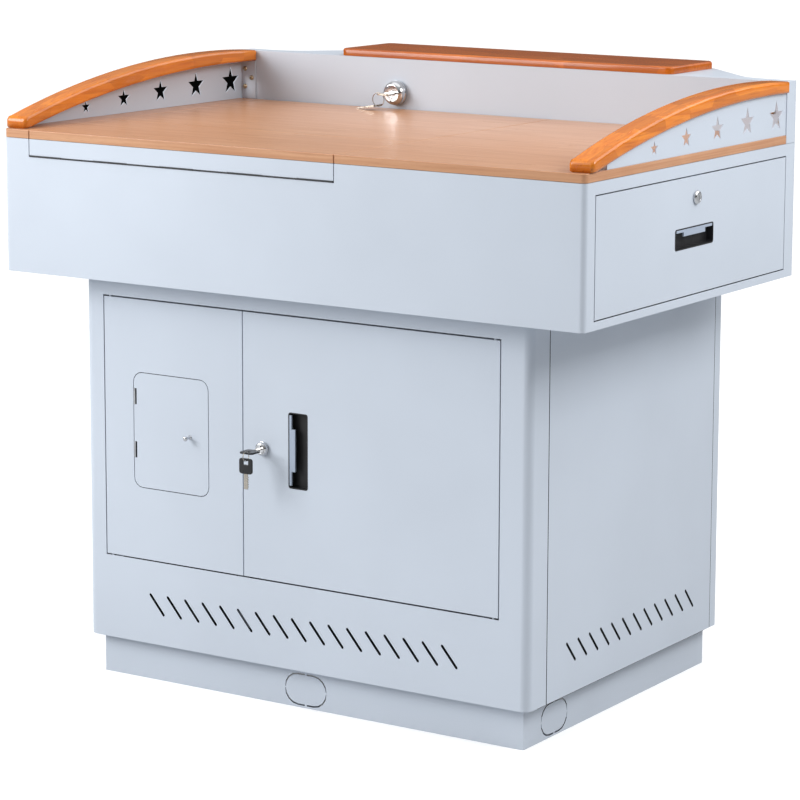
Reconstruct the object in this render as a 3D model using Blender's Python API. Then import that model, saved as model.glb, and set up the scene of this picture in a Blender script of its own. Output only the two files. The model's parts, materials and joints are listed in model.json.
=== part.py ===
"""Sheet-steel lectern desk with a wooden top, a flip-out keyboard flap, a tilting monitor lid,
a side drawer and a two-door equipment cabinet.

Metres, +Z up, +X to the speaker's right, the speaker stands at -Y.
The origin is on the floor, under the middle of the desk's outline.
"""

import math

import bmesh
import bpy
from mathutils import Matrix, Vector

# ---- overall sizes ----
WIDTH = 1.100  # upper box, side to side
BOX_DEPTH = 0.686  # upper box, front face to back face
BAY_DEPTH = 0.135  # the rear bay stands out this far behind the upper box
PLINTH_H = 0.0665
CABINET_H = 0.611
BOX_H = 0.221
TOP_T = 0.014  # wooden boards of the table top
WALL_H = 0.0875  # low wall behind the table top
CAP_T = 0.013

# ---- stock and clearances ----
SHEET = 0.0015  # steel sheet
GAP = 0.0003  # between pieces that rest on each other
SEAM = 0.0012  # between neighbouring sheet panels
REVEAL = 0.002  # round a door or a drawer front
BOARD_GAP = 0.0015  # between neighbouring boards
PIN_PLAY = 0.0001  # radial play of a pin in its hole
LIP = 0.012  # folded edge of a panel

# ---- upper box ----
BOX_R = 0.009
WALL_SETBACK = 0.030  # wall's front face, ahead of the box's back face
LEFT_STRIP_W = 0.0535
FLAP_W = 0.601
FLAP_DEPTH = 0.213
LID_BACK_GAP = 0.0025
BAY_SHOULDER = 0.089  # box side to the foot of the bay's slope
BAY_R_FOOT = 0.080
BAY_R_CORNER = 0.040
CAP_HALF_W = 0.333
CAP_EASE = 0.004

# ---- keyboard flap ----
STRIP_H = 0.0265  # steel strip under the flap's front edge
KNUCKLE_R = 0.0012
HINGE_PROUD = 0.0005  # hinge axis ahead of the front face
HINGE_DROP = 0.0015  # hinge axis below the strip
HINGE_PIN_R = 0.0005
HINGE_WEB_T = 0.0008
HINGE_LEAF_T = 0.0012
HINGE_END_IN = 0.001
HINGE_LEAF_H = 0.022
TAB_CLEAR = 0.0002  # tab above the bore and behind the hinge axis
KNUCKLES = 9
TRAY_H = 0.024
TRAY_IN = 0.020  # tray inside the flap's edges
TRAY_BACK_IN = 0.012

# ---- monitor lid ----
LID_PIVOT_AHEAD = 0.0745  # lid axis ahead of the wall
LID_PIN_R = 0.003
BAR_T = 0.002
BAR_HALF = 0.015
EAR_HALF = 0.010
EAR_DROP = 0.009
MONITOR_PLATE = 0.120
PLATE_AHEAD = 0.020  # plate's middle ahead of the lid's
PLATE_HOLE_HALF = 0.050
PLATE_HOLE_R = 0.0025
EAR_IN = 0.001  # ear inside the lid's edge

# ---- armrests and cheeks ----
ARM_OUT = 0.006  # armrest beyond the box side
ARM_W = 0.043
ARM_TOP_H = 0.0915  # crown of the armrest above the table
ARM_TOP_R = 1.95
ARM_TOP_AT = 0.543  # crown behind the front face
ARM_UNDER_H = 0.0695
ARM_UNDER_R = 2.36
ARM_UNDER_AT = 0.593
ARM_NOSE = 0.014
ARM_EASE = 0.006
CHEEK_IN = 0.0015
CHEEK_FLANGE = 0.032
STAR_RADII = (0.026, 0.024, 0.021, 0.017, 0.012)
STAR_PITCH = 0.1027
STAR_FIRST = 0.036  # rear star's centre ahead of the wall
STAR_WAIST = 0.40
STRAP_IN = 0.0325  # nut strip's edges, in from the side
STRAP_OUT = 0.0035
STRAP_RISE = 0.012
STRAP_H = 0.054

# ---- drawer ----
DRAWER_STILE = 0.031
DRAWER_SILL = 0.015
DRAWER_HEAD = 0.0215
DRAWER_FRONT_T = 0.018
DRAWER_TRAY_DROP = 0.040
SLIDE_H = 0.045
SLIDE_RISE = 0.075
SLIDE_T = 0.0012
SLIDE_SPACE = 0.0125
DRAWER_PULL_W = 0.1265
DRAWER_PULL_H = 0.033
DRAWER_PULL_RISE = 0.0735

# ---- cabinet ----
CABINET_W = 0.857
CABINET_DEPTH = 0.630
CABINET_SETBACK = 0.054
CABINET_R = 0.015
FRONT_WRAP = 0.055
REAR_WRAP = 0.031
POST_LEFT = 0.038
POST_RIGHT = 0.053
LEFT_DOOR_W = 0.281
DOOR_T = 0.018
SILL_H = 0.1405  # door opening above the plinth
OPENING_H = 0.437
DOOR_PIN_R = 0.0025
DOOR_PIN_IN = 0.010
DOOR_PIN_BACK = 0.0045
LUG_HALF_W = 0.020
LUG_BEHIND_PIN = 0.011
PLINTH_SIDE_INSET = 0.0185
PLINTH_FRONT_INSET = 0.019
PLINTH_REAR_INSET = 0.0195
PLINTH_FLANGE = 0.020
KNOCKOUT_W = 0.082
KNOCKOUT_H = 0.0525
KNOCKOUT_SLIT = 0.0012
KNOCKOUT_TAB = 0.004
KNOCKOUT_BACK = 0.1125  # side knock-out's middle behind the cabinet's front
KNOCKOUT_LOW = 0.003  # knock-out's middle below the plinth's

# ---- louvre slots ----
SLOT_PITCH = 0.0357
SLOT_RUN = 0.029
SLOT_DROP = 0.034
SLOT_W = 0.0035
SLOT_RISE = 0.068  # middle of the slots above the plinth
FRONT_SLOT_MARGIN = 0.122
SIDE_SLOT_MARGIN = 0.055

# ---- hatch in the left door ----
HATCH_W = 0.151
HATCH_H = 0.191
HATCH_FROM_LEFT = 0.0595
HATCH_RISE = 0.121
HATCH_R = 0.016
HATCH_GAP = 0.0013
HATCH_AXIS_IN = 0.0015
HATCH_AXIS_BACK = 0.0007
HATCH_BARREL_R = 0.0010
HATCH_BARREL_H = 0.027
HATCH_PIN_R = 0.0004
HATCH_PIN_TAIL = 0.004  # pin held in the plate past each end of the notch
HATCH_NOTCH_W = 0.0055
HATCH_LEAF_T = 0.0012
HATCH_LEAF_OUT = 0.014  # leaf's far and near edges, left of the hatch
HATCH_LEAF_IN = 0.004
HATCH_WEB_OUT = 0.001
KNOB_FROM_LEFT = 0.114
KNOB_RISE = 0.0945
KNOB_SHANK_R = 0.0015
HATCH_HINGE_RISES = (0.151, 0.062)

# ---- right door's pull ----
DOOR_PULL_W = 0.037
DOOR_PULL_H = 0.123
PULL_DEPTH = 0.013
PULL_WALL = 0.0015
PULL_LIP_T = 0.003
DOOR_PULL_FROM_LEFT = 0.0885
DOOR_PULL_RISE = 0.156

# ---- locks and keys ----
PLUG_R = 0.006
CAM_W = 0.008
CAM_T = 0.002
REAR_LOCK_R = 0.022
REAR_LOCK_OUT = 0.0195
REAR_LOCK_RISE = 0.028
REAR_LOCK_SHIFT = -0.014  # from the lid's middle
REAR_CAM = 0.030
REAR_BARREL_R = 0.013
DOOR_LOCK_R = 0.0115
DOOR_LOCK_OUT = 0.009
DOOR_LOCK_FROM_LEFT = 0.0385
DOOR_LOCK_RISE = 0.215
DOOR_CAM = 0.048
DRAWER_LOCK_R = 0.011
DRAWER_LOCK_OUT = 0.0055
DRAWER_LOCK_RISE = 0.151
DRAWER_CAM = 0.040
DRAWER_BARREL_BACK = 0.006
LOCK_NOTCH_HALF = 0.050
LOCK_NOTCH_DROP = 0.020
CAM_SET = 0.0015  # cam behind its barrel
CAM_CLEAR = 0.001
LEDGE_HALF = 0.030
SMALL_BARREL_R = 0.009
KEY_HEAD = 0.025
KEY_T = 0.003
KEY_BLADE_W = 0.007
KEY_BLADE_T = 0.002
KEY_BLADE = 0.025
KEY_ROOT = 0.003  # blade held in the head
KEY_RIM = 0.0036  # head's end to its ring slot
KEY_SLOT_W = 0.010
WIRE_R = 0.0007

# ---- equipment bay ----
STRIKE_W = 0.024
RACK_HOLE_HALF = 0.23255  # rack hole column to the bay's middle
RACK_CLEAR_HALF = 0.225
RACK_FACE = 0.0175
RACK_RETURN = 0.030
RACK_BEHIND_DOOR = 0.030
RACK_UNIT = 0.04445
RACK_HOLE = 0.007

# ---- places that follow from the sizes ----
HINGE_OUT = HINGE_PROUD + KNUCKLE_R
OUTLINE_DEPTH = HINGE_OUT + BOX_DEPTH + BAY_DEPTH
FRONT = -OUTLINE_DEPTH / 2 + HINGE_OUT
BOX_BACK = FRONT + BOX_DEPTH
BACK = OUTLINE_DEPTH / 2
SIDE = WIDTH / 2
WALL = BOX_BACK - WALL_SETBACK
Z_FLOOR = PLINTH_H
Z_DECK = Z_FLOOR + CABINET_H
Z_BOARD = Z_DECK + BOX_H
Z_TABLE = Z_BOARD + TOP_T
Z_WALL = Z_TABLE + WALL_H
CAB_SIDE = CABINET_W / 2
CAB_FRONT = FRONT + CABINET_SETBACK
CAB_BACK = CAB_FRONT + CABINET_DEPTH
SEAM_FRONT = CAB_FRONT + FRONT_WRAP
SEAM_REAR = CAB_BACK - REAR_WRAP
OPEN_X0 = -CAB_SIDE + POST_LEFT
OPEN_X1 = CAB_SIDE - POST_RIGHT
OPEN_Z0 = Z_FLOOR + SILL_H
OPEN_Z1 = OPEN_Z0 + OPENING_H
MEETING = OPEN_X0 + LEFT_DOOR_W  # left door's free edge
LEFT_DOOR = (OPEN_X0 + REVEAL, MEETING)
RIGHT_DOOR = (MEETING + REVEAL, OPEN_X1 - REVEAL)
DOOR_Z0 = OPEN_Z0 + REVEAL
DOOR_Z1 = OPEN_Z1 - REVEAL
LEFT_PIN = (LEFT_DOOR[0] + DOOR_PIN_IN, CAB_FRONT + DOOR_PIN_BACK)
RIGHT_PIN = (RIGHT_DOOR[1] - DOOR_PIN_IN, CAB_FRONT + DOOR_PIN_BACK)
FLAP_X0 = -SIDE + LEFT_STRIP_W
FLAP_X1 = FLAP_X0 + FLAP_W
FLAP_BACK = FRONT + FLAP_DEPTH
LID_FRONT = FLAP_BACK + BOARD_GAP
LID_BACK = WALL - LID_BACK_GAP
LID_MID = (FLAP_X0 + FLAP_X1) / 2
UNDER = Z_BOARD - GAP  # top of what carries the boards
STRIP_Z0 = UNDER - STRIP_H
HINGE_Y = FRONT - HINGE_PROUD
HINGE_Z = STRIP_Z0 - HINGE_DROP
LID_PIVOT_Y = WALL - LID_PIVOT_AHEAD
LID_PIVOT_Z = UNDER - LID_PIN_R - PIN_PLAY - 0.0004
DIVIDER_X = FLAP_X1 + 0.031
DRAWER_Y0 = FRONT + DRAWER_STILE
DRAWER_Y1 = BOX_BACK - DRAWER_STILE
DRAWER_Z0 = Z_DECK + DRAWER_SILL
DRAWER_Z1 = Z_BOARD - DRAWER_HEAD
DRAWER_MID = (DRAWER_Y0 + DRAWER_Y1) / 2
DRAWER_IN = DIVIDER_X + SHEET + 0.012
DRAWER_OUT = SIDE - DRAWER_FRONT_T - GAP
SLIDE_OUT = DRAWER_OUT - 0.004
SLIDE_Z = Z_DECK + SLIDE_RISE
REAR_LOCK = (LID_MID + REAR_LOCK_SHIFT, Z_TABLE + REAR_LOCK_RISE)
DOOR_LOCK = (RIGHT_DOOR[0] + DOOR_LOCK_FROM_LEFT, DOOR_Z0 + DOOR_LOCK_RISE)
DRAWER_LOCK = (DRAWER_MID + 0.002, DRAWER_Z0 + DRAWER_LOCK_RISE)
HATCH_X0 = LEFT_DOOR[0] + HATCH_FROM_LEFT
HATCH_Z0 = DOOR_Z0 + HATCH_RISE
HATCH_AXIS = (HATCH_X0 + HATCH_AXIS_IN, CAB_FRONT + HATCH_AXIS_BACK)
STRIKE_Y = CAB_FRONT + DOOR_T + 0.0015
RACK_MID = (MEETING + OPEN_X1) / 2
RACK_Y = CAB_FRONT + DOOR_T + RACK_BEHIND_DOOR
BOLTS = ((0.0105, 0.022), (0.0105, 0.054), (0.0250, 0.038))  # in from the side, above the table
BOLT_R = 0.002
BOLT_HEAD_R = 0.0045
BOLT_HEAD_T = 0.0028
THROUGH = 0.02  # how far a cutter runs past the sheet it cuts
BOX_STEPS = 6  # facets in a round corner
CAB_STEPS = 7
BAY_STEPS = 7
SLOT_STEPS = 3
ARM_STEPS = 16

STEEL = ((0.60, 0.65, 0.71), 0.42, 0.15)
BEECH = ((0.68, 0.42, 0.26), 0.35, 0.0)
VARNISHED = ((0.62, 0.24, 0.05), 0.18, 0.0)
CHROME = ((0.80, 0.81, 0.83), 0.12, 1.0)
ZINC = ((0.62, 0.63, 0.64), 0.35, 0.9)
BLACK = ((0.02, 0.02, 0.022), 0.5, 0.0)
GREY_LIP = ((0.42, 0.47, 0.55), 0.4, 0.0)
BRASSY = ((0.66, 0.55, 0.36), 0.3, 0.9)

BODIES = {}


# ---- outlines ----


def arc(cx, cy, radius, start, end, steps):
    """Points on an arc, from start to end in degrees."""
    turns = [math.radians(start + (end - start) * i / steps) for i in range(steps + 1)]
    return [(cx + radius * math.cos(t), cy + radius * math.sin(t)) for t in turns]


def rounded(x0, y0, x1, y1, radius, steps=4):
    """A rectangle with round corners, anticlockwise."""
    return (
        arc(x0 + radius, y0 + radius, radius, 180, 270, steps)
        + arc(x1 - radius, y0 + radius, radius, 270, 360, steps)
        + arc(x1 - radius, y1 - radius, radius, 0, 90, steps)
        + arc(x0 + radius, y1 - radius, radius, 90, 180, steps)
    )


def capsule(ax, ay, bx, by, radius, steps):
    """A bar from point a to point b with round ends, anticlockwise."""
    heading = math.degrees(math.atan2(by - ay, bx - ax))
    return arc(bx, by, radius, heading - 90, heading + 90, steps) + arc(
        ax, ay, radius, heading + 90, heading + 270, steps
    )


def beside(path, distance):
    """The path moved to its left, with mitred corners."""
    normals = []
    for (xa, ya), (xb, yb) in zip(path, path[1:]):
        run = math.hypot(xb - xa, yb - ya)
        normals.append((-(yb - ya) / run, (xb - xa) / run))
    sides = [normals[0]] + normals + [normals[-1]]
    moved = []
    for (x, y), (ax, ay), (bx, by) in zip(path, sides, sides[1:]):
        share = distance / (1 + ax * bx + ay * by)
        moved.append((x + (ax + bx) * share, y + (ay + by) * share))
    return moved


def folded(path, thickness=SHEET):
    """The cross-section of a sheet folded along the path, its thickness on the left."""
    return path + beside(path, thickness)[::-1]


def star(cx, cy, radius, waist=STAR_WAIST):
    points = []
    for i in range(10):
        reach = radius if i % 2 == 0 else radius * waist
        turn = math.radians(90 + 36 * i)
        points.append((cx + reach * math.cos(turn), cy + reach * math.sin(turn)))
    return points


def bay_path():
    """The rear bay's outer face in plan, from right to left."""
    foot_y = BOX_BACK + GAP + SHEET
    foot_x = SIDE - BAY_SHOULDER
    corner_x = foot_x - (BACK - foot_y)
    foot_run = BAY_R_FOOT * math.tan(math.radians(22.5))
    corner_run = BAY_R_CORNER * math.tan(math.radians(22.5))
    right = [(SIDE, foot_y)]
    right += arc(foot_x + foot_run, foot_y + BAY_R_FOOT, BAY_R_FOOT, 270, 225, BAY_STEPS)
    right += arc(corner_x - corner_run, BACK - BAY_R_CORNER, BAY_R_CORNER, 45, 90, BAY_STEPS)
    return right + [(-x, y) for x, y in reversed(right)]


# ---- solids ----


def tidy(bm):
    bmesh.ops.recalc_face_normals(bm, faces=bm.faces)
    return bm


def block(low, high):
    bm = bmesh.new()
    size = Vector(high) - Vector(low)
    middle = (Vector(high) + Vector(low)) / 2
    bmesh.ops.create_cube(bm, size=1, matrix=Matrix.Translation(middle) @ Matrix.Diagonal((*size, 1)))
    return bm


def prism(outline, axis, low, high):
    """The outline extruded along an axis; it is given in the other two, in X, Y, Z order."""
    bm = bmesh.new()
    at = "xyz".index(axis)
    corners = []
    for point in outline:
        place = list(point)
        place.insert(at, low)
        corners.append(bm.verts.new(place))
    face = bm.faces.new(corners)
    grown = bmesh.ops.extrude_face_region(bm, geom=[face])["geom"]
    move = Vector((0, 0, 0))
    move[at] = high - low
    bmesh.ops.translate(bm, vec=move, verts=[g for g in grown if isinstance(g, bmesh.types.BMVert)])
    return tidy(bm)


def rod(start, end, radius, sides=12):
    bm = bmesh.new()
    start = Vector(start)
    end = Vector(end)
    turn = (end - start).to_track_quat("Z", "Y").to_matrix().to_4x4()
    bmesh.ops.create_cone(
        bm,
        cap_ends=True,
        segments=sides,
        radius1=radius,
        radius2=radius,
        depth=(end - start).length,
        matrix=Matrix.Translation((start + end) / 2) @ turn,
    )
    return bm


def turned(profile, base, direction, sides=24):
    """A turned solid: the profile gives (radius, height) from the base along the direction."""
    bm = bmesh.new()
    verts = [bm.verts.new((radius, 0, height)) for radius, height in profile]
    closed = profile[0][0] > 0
    edges = [bm.edges.new(pair) for pair in zip(verts, verts[1:])]
    if closed:
        edges.append(bm.edges.new((verts[-1], verts[0])))
    bmesh.ops.spin(
        bm, geom=verts + edges, cent=(0, 0, 0), axis=(0, 0, 1), angle=math.tau, steps=sides, use_merge=True
    )
    bmesh.ops.remove_doubles(bm, verts=bm.verts, dist=1e-6)
    turn = Vector(direction).to_track_quat("Z", "Y").to_matrix().to_4x4()
    bmesh.ops.transform(bm, matrix=Matrix.Translation(base) @ turn, verts=bm.verts)
    return tidy(bm)


def ring(centre, radius, wire, axis, turns=20, sides=6):
    """A wire ring round an axis."""
    bm = bmesh.new()
    upright = Matrix.Translation((radius, 0, 0)) @ Matrix.Rotation(math.pi / 2, 4, "X")
    bmesh.ops.create_circle(bm, segments=sides, radius=wire, matrix=upright)
    bmesh.ops.spin(
        bm,
        geom=bm.verts[:] + bm.edges[:],
        cent=(0, 0, 0),
        axis=(0, 0, 1),
        angle=math.tau,
        steps=turns,
        use_merge=True,
    )
    bmesh.ops.remove_doubles(bm, verts=bm.verts, dist=1e-6)
    turn = Vector(axis).to_track_quat("Z", "Y").to_matrix().to_4x4()
    bmesh.ops.transform(bm, matrix=Matrix.Translation(centre) @ turn, verts=bm.verts)
    return tidy(bm)


def together(shapes):
    """Separate shapes in one mesh, to cut with."""
    bm = bmesh.new()
    for shape in shapes:
        mesh = bpy.data.meshes.new("part")
        shape.to_mesh(mesh)
        shape.free()
        bm.from_mesh(mesh)
        bpy.data.meshes.remove(mesh)
    return bm


def worked(bm, tool, operation):
    """The shape after an exact Boolean with the tool."""
    objects = []
    for shape in (bm, tool):
        mesh = bpy.data.meshes.new("work")
        shape.to_mesh(mesh)
        shape.free()
        objects.append(bpy.data.objects.new("work", mesh))
        bpy.context.scene.collection.objects.link(objects[-1])
    body, cutter = objects
    change = body.modifiers.new("work", "BOOLEAN")
    change.solver = "EXACT"
    change.operation = operation
    change.object = cutter
    result = bpy.data.meshes.new_from_object(body.evaluated_get(bpy.context.evaluated_depsgraph_get()))
    out = bmesh.new()
    out.from_mesh(result)
    for obj in objects:
        mesh = obj.data
        bpy.data.objects.remove(obj, do_unlink=True)
        bpy.data.meshes.remove(mesh)
    bpy.data.meshes.remove(result)
    return out


def cut(bm, *tools):
    for tool in tools:
        bm = worked(bm, tool, "DIFFERENCE")
    return bm


def union(bm, *others):
    for other in others:
        bm = worked(bm, other, "UNION")
    return bm


def mirrored(bm):
    bmesh.ops.scale(bm, vec=(-1, 1, 1), verts=bm.verts)
    bmesh.ops.reverse_faces(bm, faces=bm.faces)
    return bm


def eased(bm, width, steps, edges):
    """Bevels the edges."""
    bmesh.ops.bevel(
        bm,
        geom=edges,
        offset=width,
        segments=steps,
        profile=0.5,
        affect="EDGES",
        material=-1,
        clamp_overlap=True,
    )
    return bm


# ---- objects ----


def finish_of(name, look):
    colour, roughness, metallic = look
    material = bpy.data.materials.new(name + "_finish")
    material.use_nodes = True
    shader = material.node_tree.nodes["Principled BSDF"]
    shader.inputs["Base Color"].default_value = (*colour, 1)
    shader.inputs["Roughness"].default_value = roughness
    shader.inputs["Metallic"].default_value = metallic
    material.diffuse_color = (*colour, 1)
    return material


def body(name, place=(0, 0, 0), on=None):
    """An empty on a joint's axis, which carries the pieces that move together."""
    empty = bpy.data.objects.new(name + "_joint", None)
    bpy.context.scene.collection.objects.link(empty)
    base = Vector((0, 0, 0))
    if on:
        empty.parent, base = BODIES[on]
    empty.location = Vector(place) - base
    BODIES[name] = (empty, Vector(place))


def piece(name, bm, look, on):
    """One sub-part, on the body that carries it."""
    empty, place = BODIES[on]
    bmesh.ops.translate(bm, vec=-place, verts=bm.verts)
    mesh = bpy.data.meshes.new(name)
    bm.to_mesh(mesh)
    bm.free()
    mesh.materials.append(finish_of(name, look))
    mesh.shade_smooth()
    mesh.set_sharp_from_angle(angle=math.radians(30))
    obj = bpy.data.objects.new(name, mesh)
    obj.parent = empty
    bpy.context.scene.collection.objects.link(obj)


# ---- plinth and cabinet ----


def knockout(along, rise, axis, depth_low, depth_high):
    """A slit round an oblong, broken by four tabs that hold the knock-out in."""
    half_w = KNOCKOUT_W / 2
    half_h = KNOCKOUT_H / 2
    middle = half_w - half_h
    outer = capsule(along - middle, rise, along + middle, rise, half_h, 8)
    tab = KNOCKOUT_TAB / 2
    cutters = [capsule(along - middle, rise, along + middle, rise, half_h - KNOCKOUT_SLIT, 8)]
    for w, h in ((tab, half_h + THROUGH), (half_w + THROUGH, tab)):
        x0, x1 = along - w, along + w
        z0, z1 = rise - h, rise + h
        cutters.append([(x0, z0), (x1, z0), (x1, z1), (x0, z1)])
    cutters = [prism(outline, axis, depth_low - THROUGH, depth_high + THROUGH) for outline in cutters]
    return cut(prism(outer, axis, depth_low, depth_high), *cutters)


def build_plinth():
    x = CAB_SIDE - PLINTH_SIDE_INSET
    y0 = CAB_FRONT + PLINTH_FRONT_INSET
    y1 = CAB_BACK - PLINTH_REAR_INSET
    top = PLINTH_H - GAP
    shell = block((-x, y0, 0), (x, y1, top))
    inside = block((-x + SHEET, y0 + SHEET, SHEET), (x - SHEET, y1 - SHEET, top + THROUGH))
    hole = block(
        (-x + PLINTH_FLANGE, y0 + PLINTH_FLANGE, -THROUGH), (x - PLINTH_FLANGE, y1 - PLINTH_FLANGE, THROUGH)
    )
    rise = PLINTH_H / 2 - KNOCKOUT_LOW
    side_at = CAB_FRONT + KNOCKOUT_BACK
    slits = [knockout(0, rise, "y", y0 - THROUGH / 4, y0 + THROUGH / 4)]
    for sign in (-1, 1):
        slits.append(knockout(side_at, rise, "x", sign * x - THROUGH / 4, sign * x + THROUGH / 4))
    piece("plinth", cut(shell, inside, hole, together(slits)), STEEL, "root")


def slots(middle, span, axis, low, high):
    """A row of slanted louvre slots with round ends, as many as the span takes."""
    count = int(span / SLOT_PITCH)
    first = middle - ((count - 1) * SLOT_PITCH + SLOT_RUN) / 2
    radius = SLOT_W / 2
    length = math.hypot(SLOT_RUN, SLOT_DROP)
    end_x = radius * SLOT_RUN / length
    end_z = radius * SLOT_DROP / length
    top = Z_FLOOR + SLOT_RISE + SLOT_DROP / 2
    row = []
    for i in range(count):
        x = first + i * SLOT_PITCH
        outline = capsule(
            x + end_x, top - end_z, x + SLOT_RUN - end_x, top - SLOT_DROP + end_z, radius, SLOT_STEPS
        )
        row.append(prism(outline, axis, low, high))
    return together(row)


def hinge_lug(pin_x, pin_y, z0, z1):
    low = (pin_x - LUG_HALF_W, CAB_FRONT + SHEET / 2, z0)
    high = (pin_x + LUG_HALF_W, pin_y + LUG_BEHIND_PIN, z1)
    hole = rod((pin_x, pin_y, z0 - THROUGH), (pin_x, pin_y, z1 + THROUGH), DOOR_PIN_R + PIN_PLAY, 16)
    return cut(block(low, high), hole)


def build_cabinet():
    top = Z_DECK - GAP
    path = [(-CAB_SIDE + LIP, SEAM_FRONT), (-CAB_SIDE, SEAM_FRONT)]
    path += arc(-CAB_SIDE + CABINET_R, CAB_FRONT + CABINET_R, CABINET_R, 180, 270, CAB_STEPS)
    path += arc(CAB_SIDE - CABINET_R, CAB_FRONT + CABINET_R, CABINET_R, 270, 360, CAB_STEPS)
    path += [(CAB_SIDE, SEAM_FRONT), (CAB_SIDE - LIP, SEAM_FRONT)]
    frame = prism(folded(path), "z", Z_FLOOR, top)
    opening = block((OPEN_X0, CAB_FRONT - THROUGH, OPEN_Z0), (OPEN_X1, CAB_FRONT + THROUGH / 2, OPEN_Z1))
    louvres = slots(0, CABINET_W - 2 * FRONT_SLOT_MARGIN, "y", CAB_FRONT - 0.005, CAB_FRONT + 0.005)
    frame = cut(frame, opening, louvres)
    for pin_x, pin_y in (LEFT_PIN, RIGHT_PIN):
        frame = union(frame, hinge_lug(pin_x, pin_y, OPEN_Z1, OPEN_Z1 + BAR_T))
        frame = union(frame, hinge_lug(pin_x, pin_y, OPEN_Z0 - BAR_T, OPEN_Z0))
    piece("cabinet_front_frame", frame, STEEL, "root")

    y0 = SEAM_FRONT + SEAM
    y1 = SEAM_REAR - SEAM
    face = CAB_SIDE - 0.0008
    panel_path = [(face - LIP, y0), (face, y0), (face, y1), (face - LIP, y1)]
    for name in ("cabinet_side_right", "cabinet_side_left"):
        panel = prism(folded(panel_path), "z", Z_FLOOR, top)
        span = y1 - y0 - 2 * SIDE_SLOT_MARGIN
        panel = cut(panel, slots((y0 + y1) / 2, span, "x", face - 0.005, face + 0.005))
        if name.endswith("left"):
            panel = mirrored(panel)
        piece(name, panel, STEEL, "root")

    path = [(CAB_SIDE - LIP, SEAM_REAR), (CAB_SIDE, SEAM_REAR)]
    path += arc(CAB_SIDE - CABINET_R, CAB_BACK - CABINET_R, CABINET_R, 0, 90, CAB_STEPS)
    path += arc(-CAB_SIDE + CABINET_R, CAB_BACK - CABINET_R, CABINET_R, 90, 180, CAB_STEPS)
    path += [(-CAB_SIDE, SEAM_REAR), (-CAB_SIDE + LIP, SEAM_REAR)]
    back = prism(folded(path), "z", Z_FLOOR, top)
    louvres = slots(0, CABINET_W - 2 * FRONT_SLOT_MARGIN, "y", CAB_BACK - 0.005, CAB_BACK + 0.005)
    piece("cabinet_rear_panel", cut(back, louvres), STEEL, "root")

    inset = LIP + 0.004
    floor = block(
        (-CAB_SIDE + inset, CAB_FRONT + SHEET + GAP, Z_FLOOR),
        (CAB_SIDE - inset, CAB_BACK - SHEET - GAP, Z_FLOOR + SHEET),
    )
    cable_hole = block(
        (-0.060, CAB_BACK - 0.120, Z_FLOOR - THROUGH), (0.060, CAB_BACK - 0.060, Z_FLOOR + THROUGH)
    )
    piece("cabinet_floor", cut(floor, cable_hole), STEEL, "root")

    strike_end = MEETING - 0.001
    wall_x = strike_end - STRIKE_W
    path = [(wall_x, CAB_BACK - SHEET - GAP), (wall_x, STRIKE_Y), (strike_end, STRIKE_Y)]
    low = Z_FLOOR + SHEET + GAP
    piece("cabinet_divider", prism(folded(path), "z", low, top), STEEL, "root")

    for name, sign in (("rack_rail_right", 1), ("rack_rail_left", -1)):
        inner = RACK_CLEAR_HALF
        outer = RACK_CLEAR_HALF + RACK_FACE
        path = [(inner, RACK_Y), (outer, RACK_Y), (outer, RACK_Y + RACK_RETURN)]
        rail = prism(folded(path), "z", low, top)
        count = int((top - low - RACK_UNIT / 2) / RACK_UNIT)
        half = RACK_HOLE / 2
        holes = []
        for i in range(count):
            z = low + RACK_UNIT * (i + 0.75)
            holes.append(
                block(
                    (RACK_HOLE_HALF - half, RACK_Y - THROUGH / 4, z - half),
                    (RACK_HOLE_HALF + half, RACK_Y + THROUGH / 4, z + half),
                )
            )
        rail = cut(rail, together(holes))
        if sign < 0:
            rail = mirrored(rail)
        bmesh.ops.translate(rail, vec=(RACK_MID, 0, 0), verts=rail.verts)
        piece(name, rail, ZINC, "root")


# ---- doors ----


def door_pan(x0, x1):
    pan = block((x0, CAB_FRONT, DOOR_Z0), (x1, CAB_FRONT + DOOR_T, DOOR_Z1))
    pocket = block(
        (x0 + SHEET, CAB_FRONT + SHEET, DOOR_Z0 + SHEET),
        (x1 - SHEET, CAB_FRONT + DOOR_T + THROUGH, DOOR_Z1 - SHEET),
    )
    return cut(pan, pocket)


def with_pins(pan, pin_x, pin_y):
    reach = REVEAL + BAR_T - PIN_PLAY
    upper = rod((pin_x, pin_y, DOOR_Z1 - SHEET / 2), (pin_x, pin_y, DOOR_Z1 + reach), DOOR_PIN_R, 16)
    lower = rod((pin_x, pin_y, DOOR_Z0 - reach), (pin_x, pin_y, DOOR_Z0 + SHEET / 2), DOOR_PIN_R, 16)
    return union(pan, upper, lower)


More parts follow.
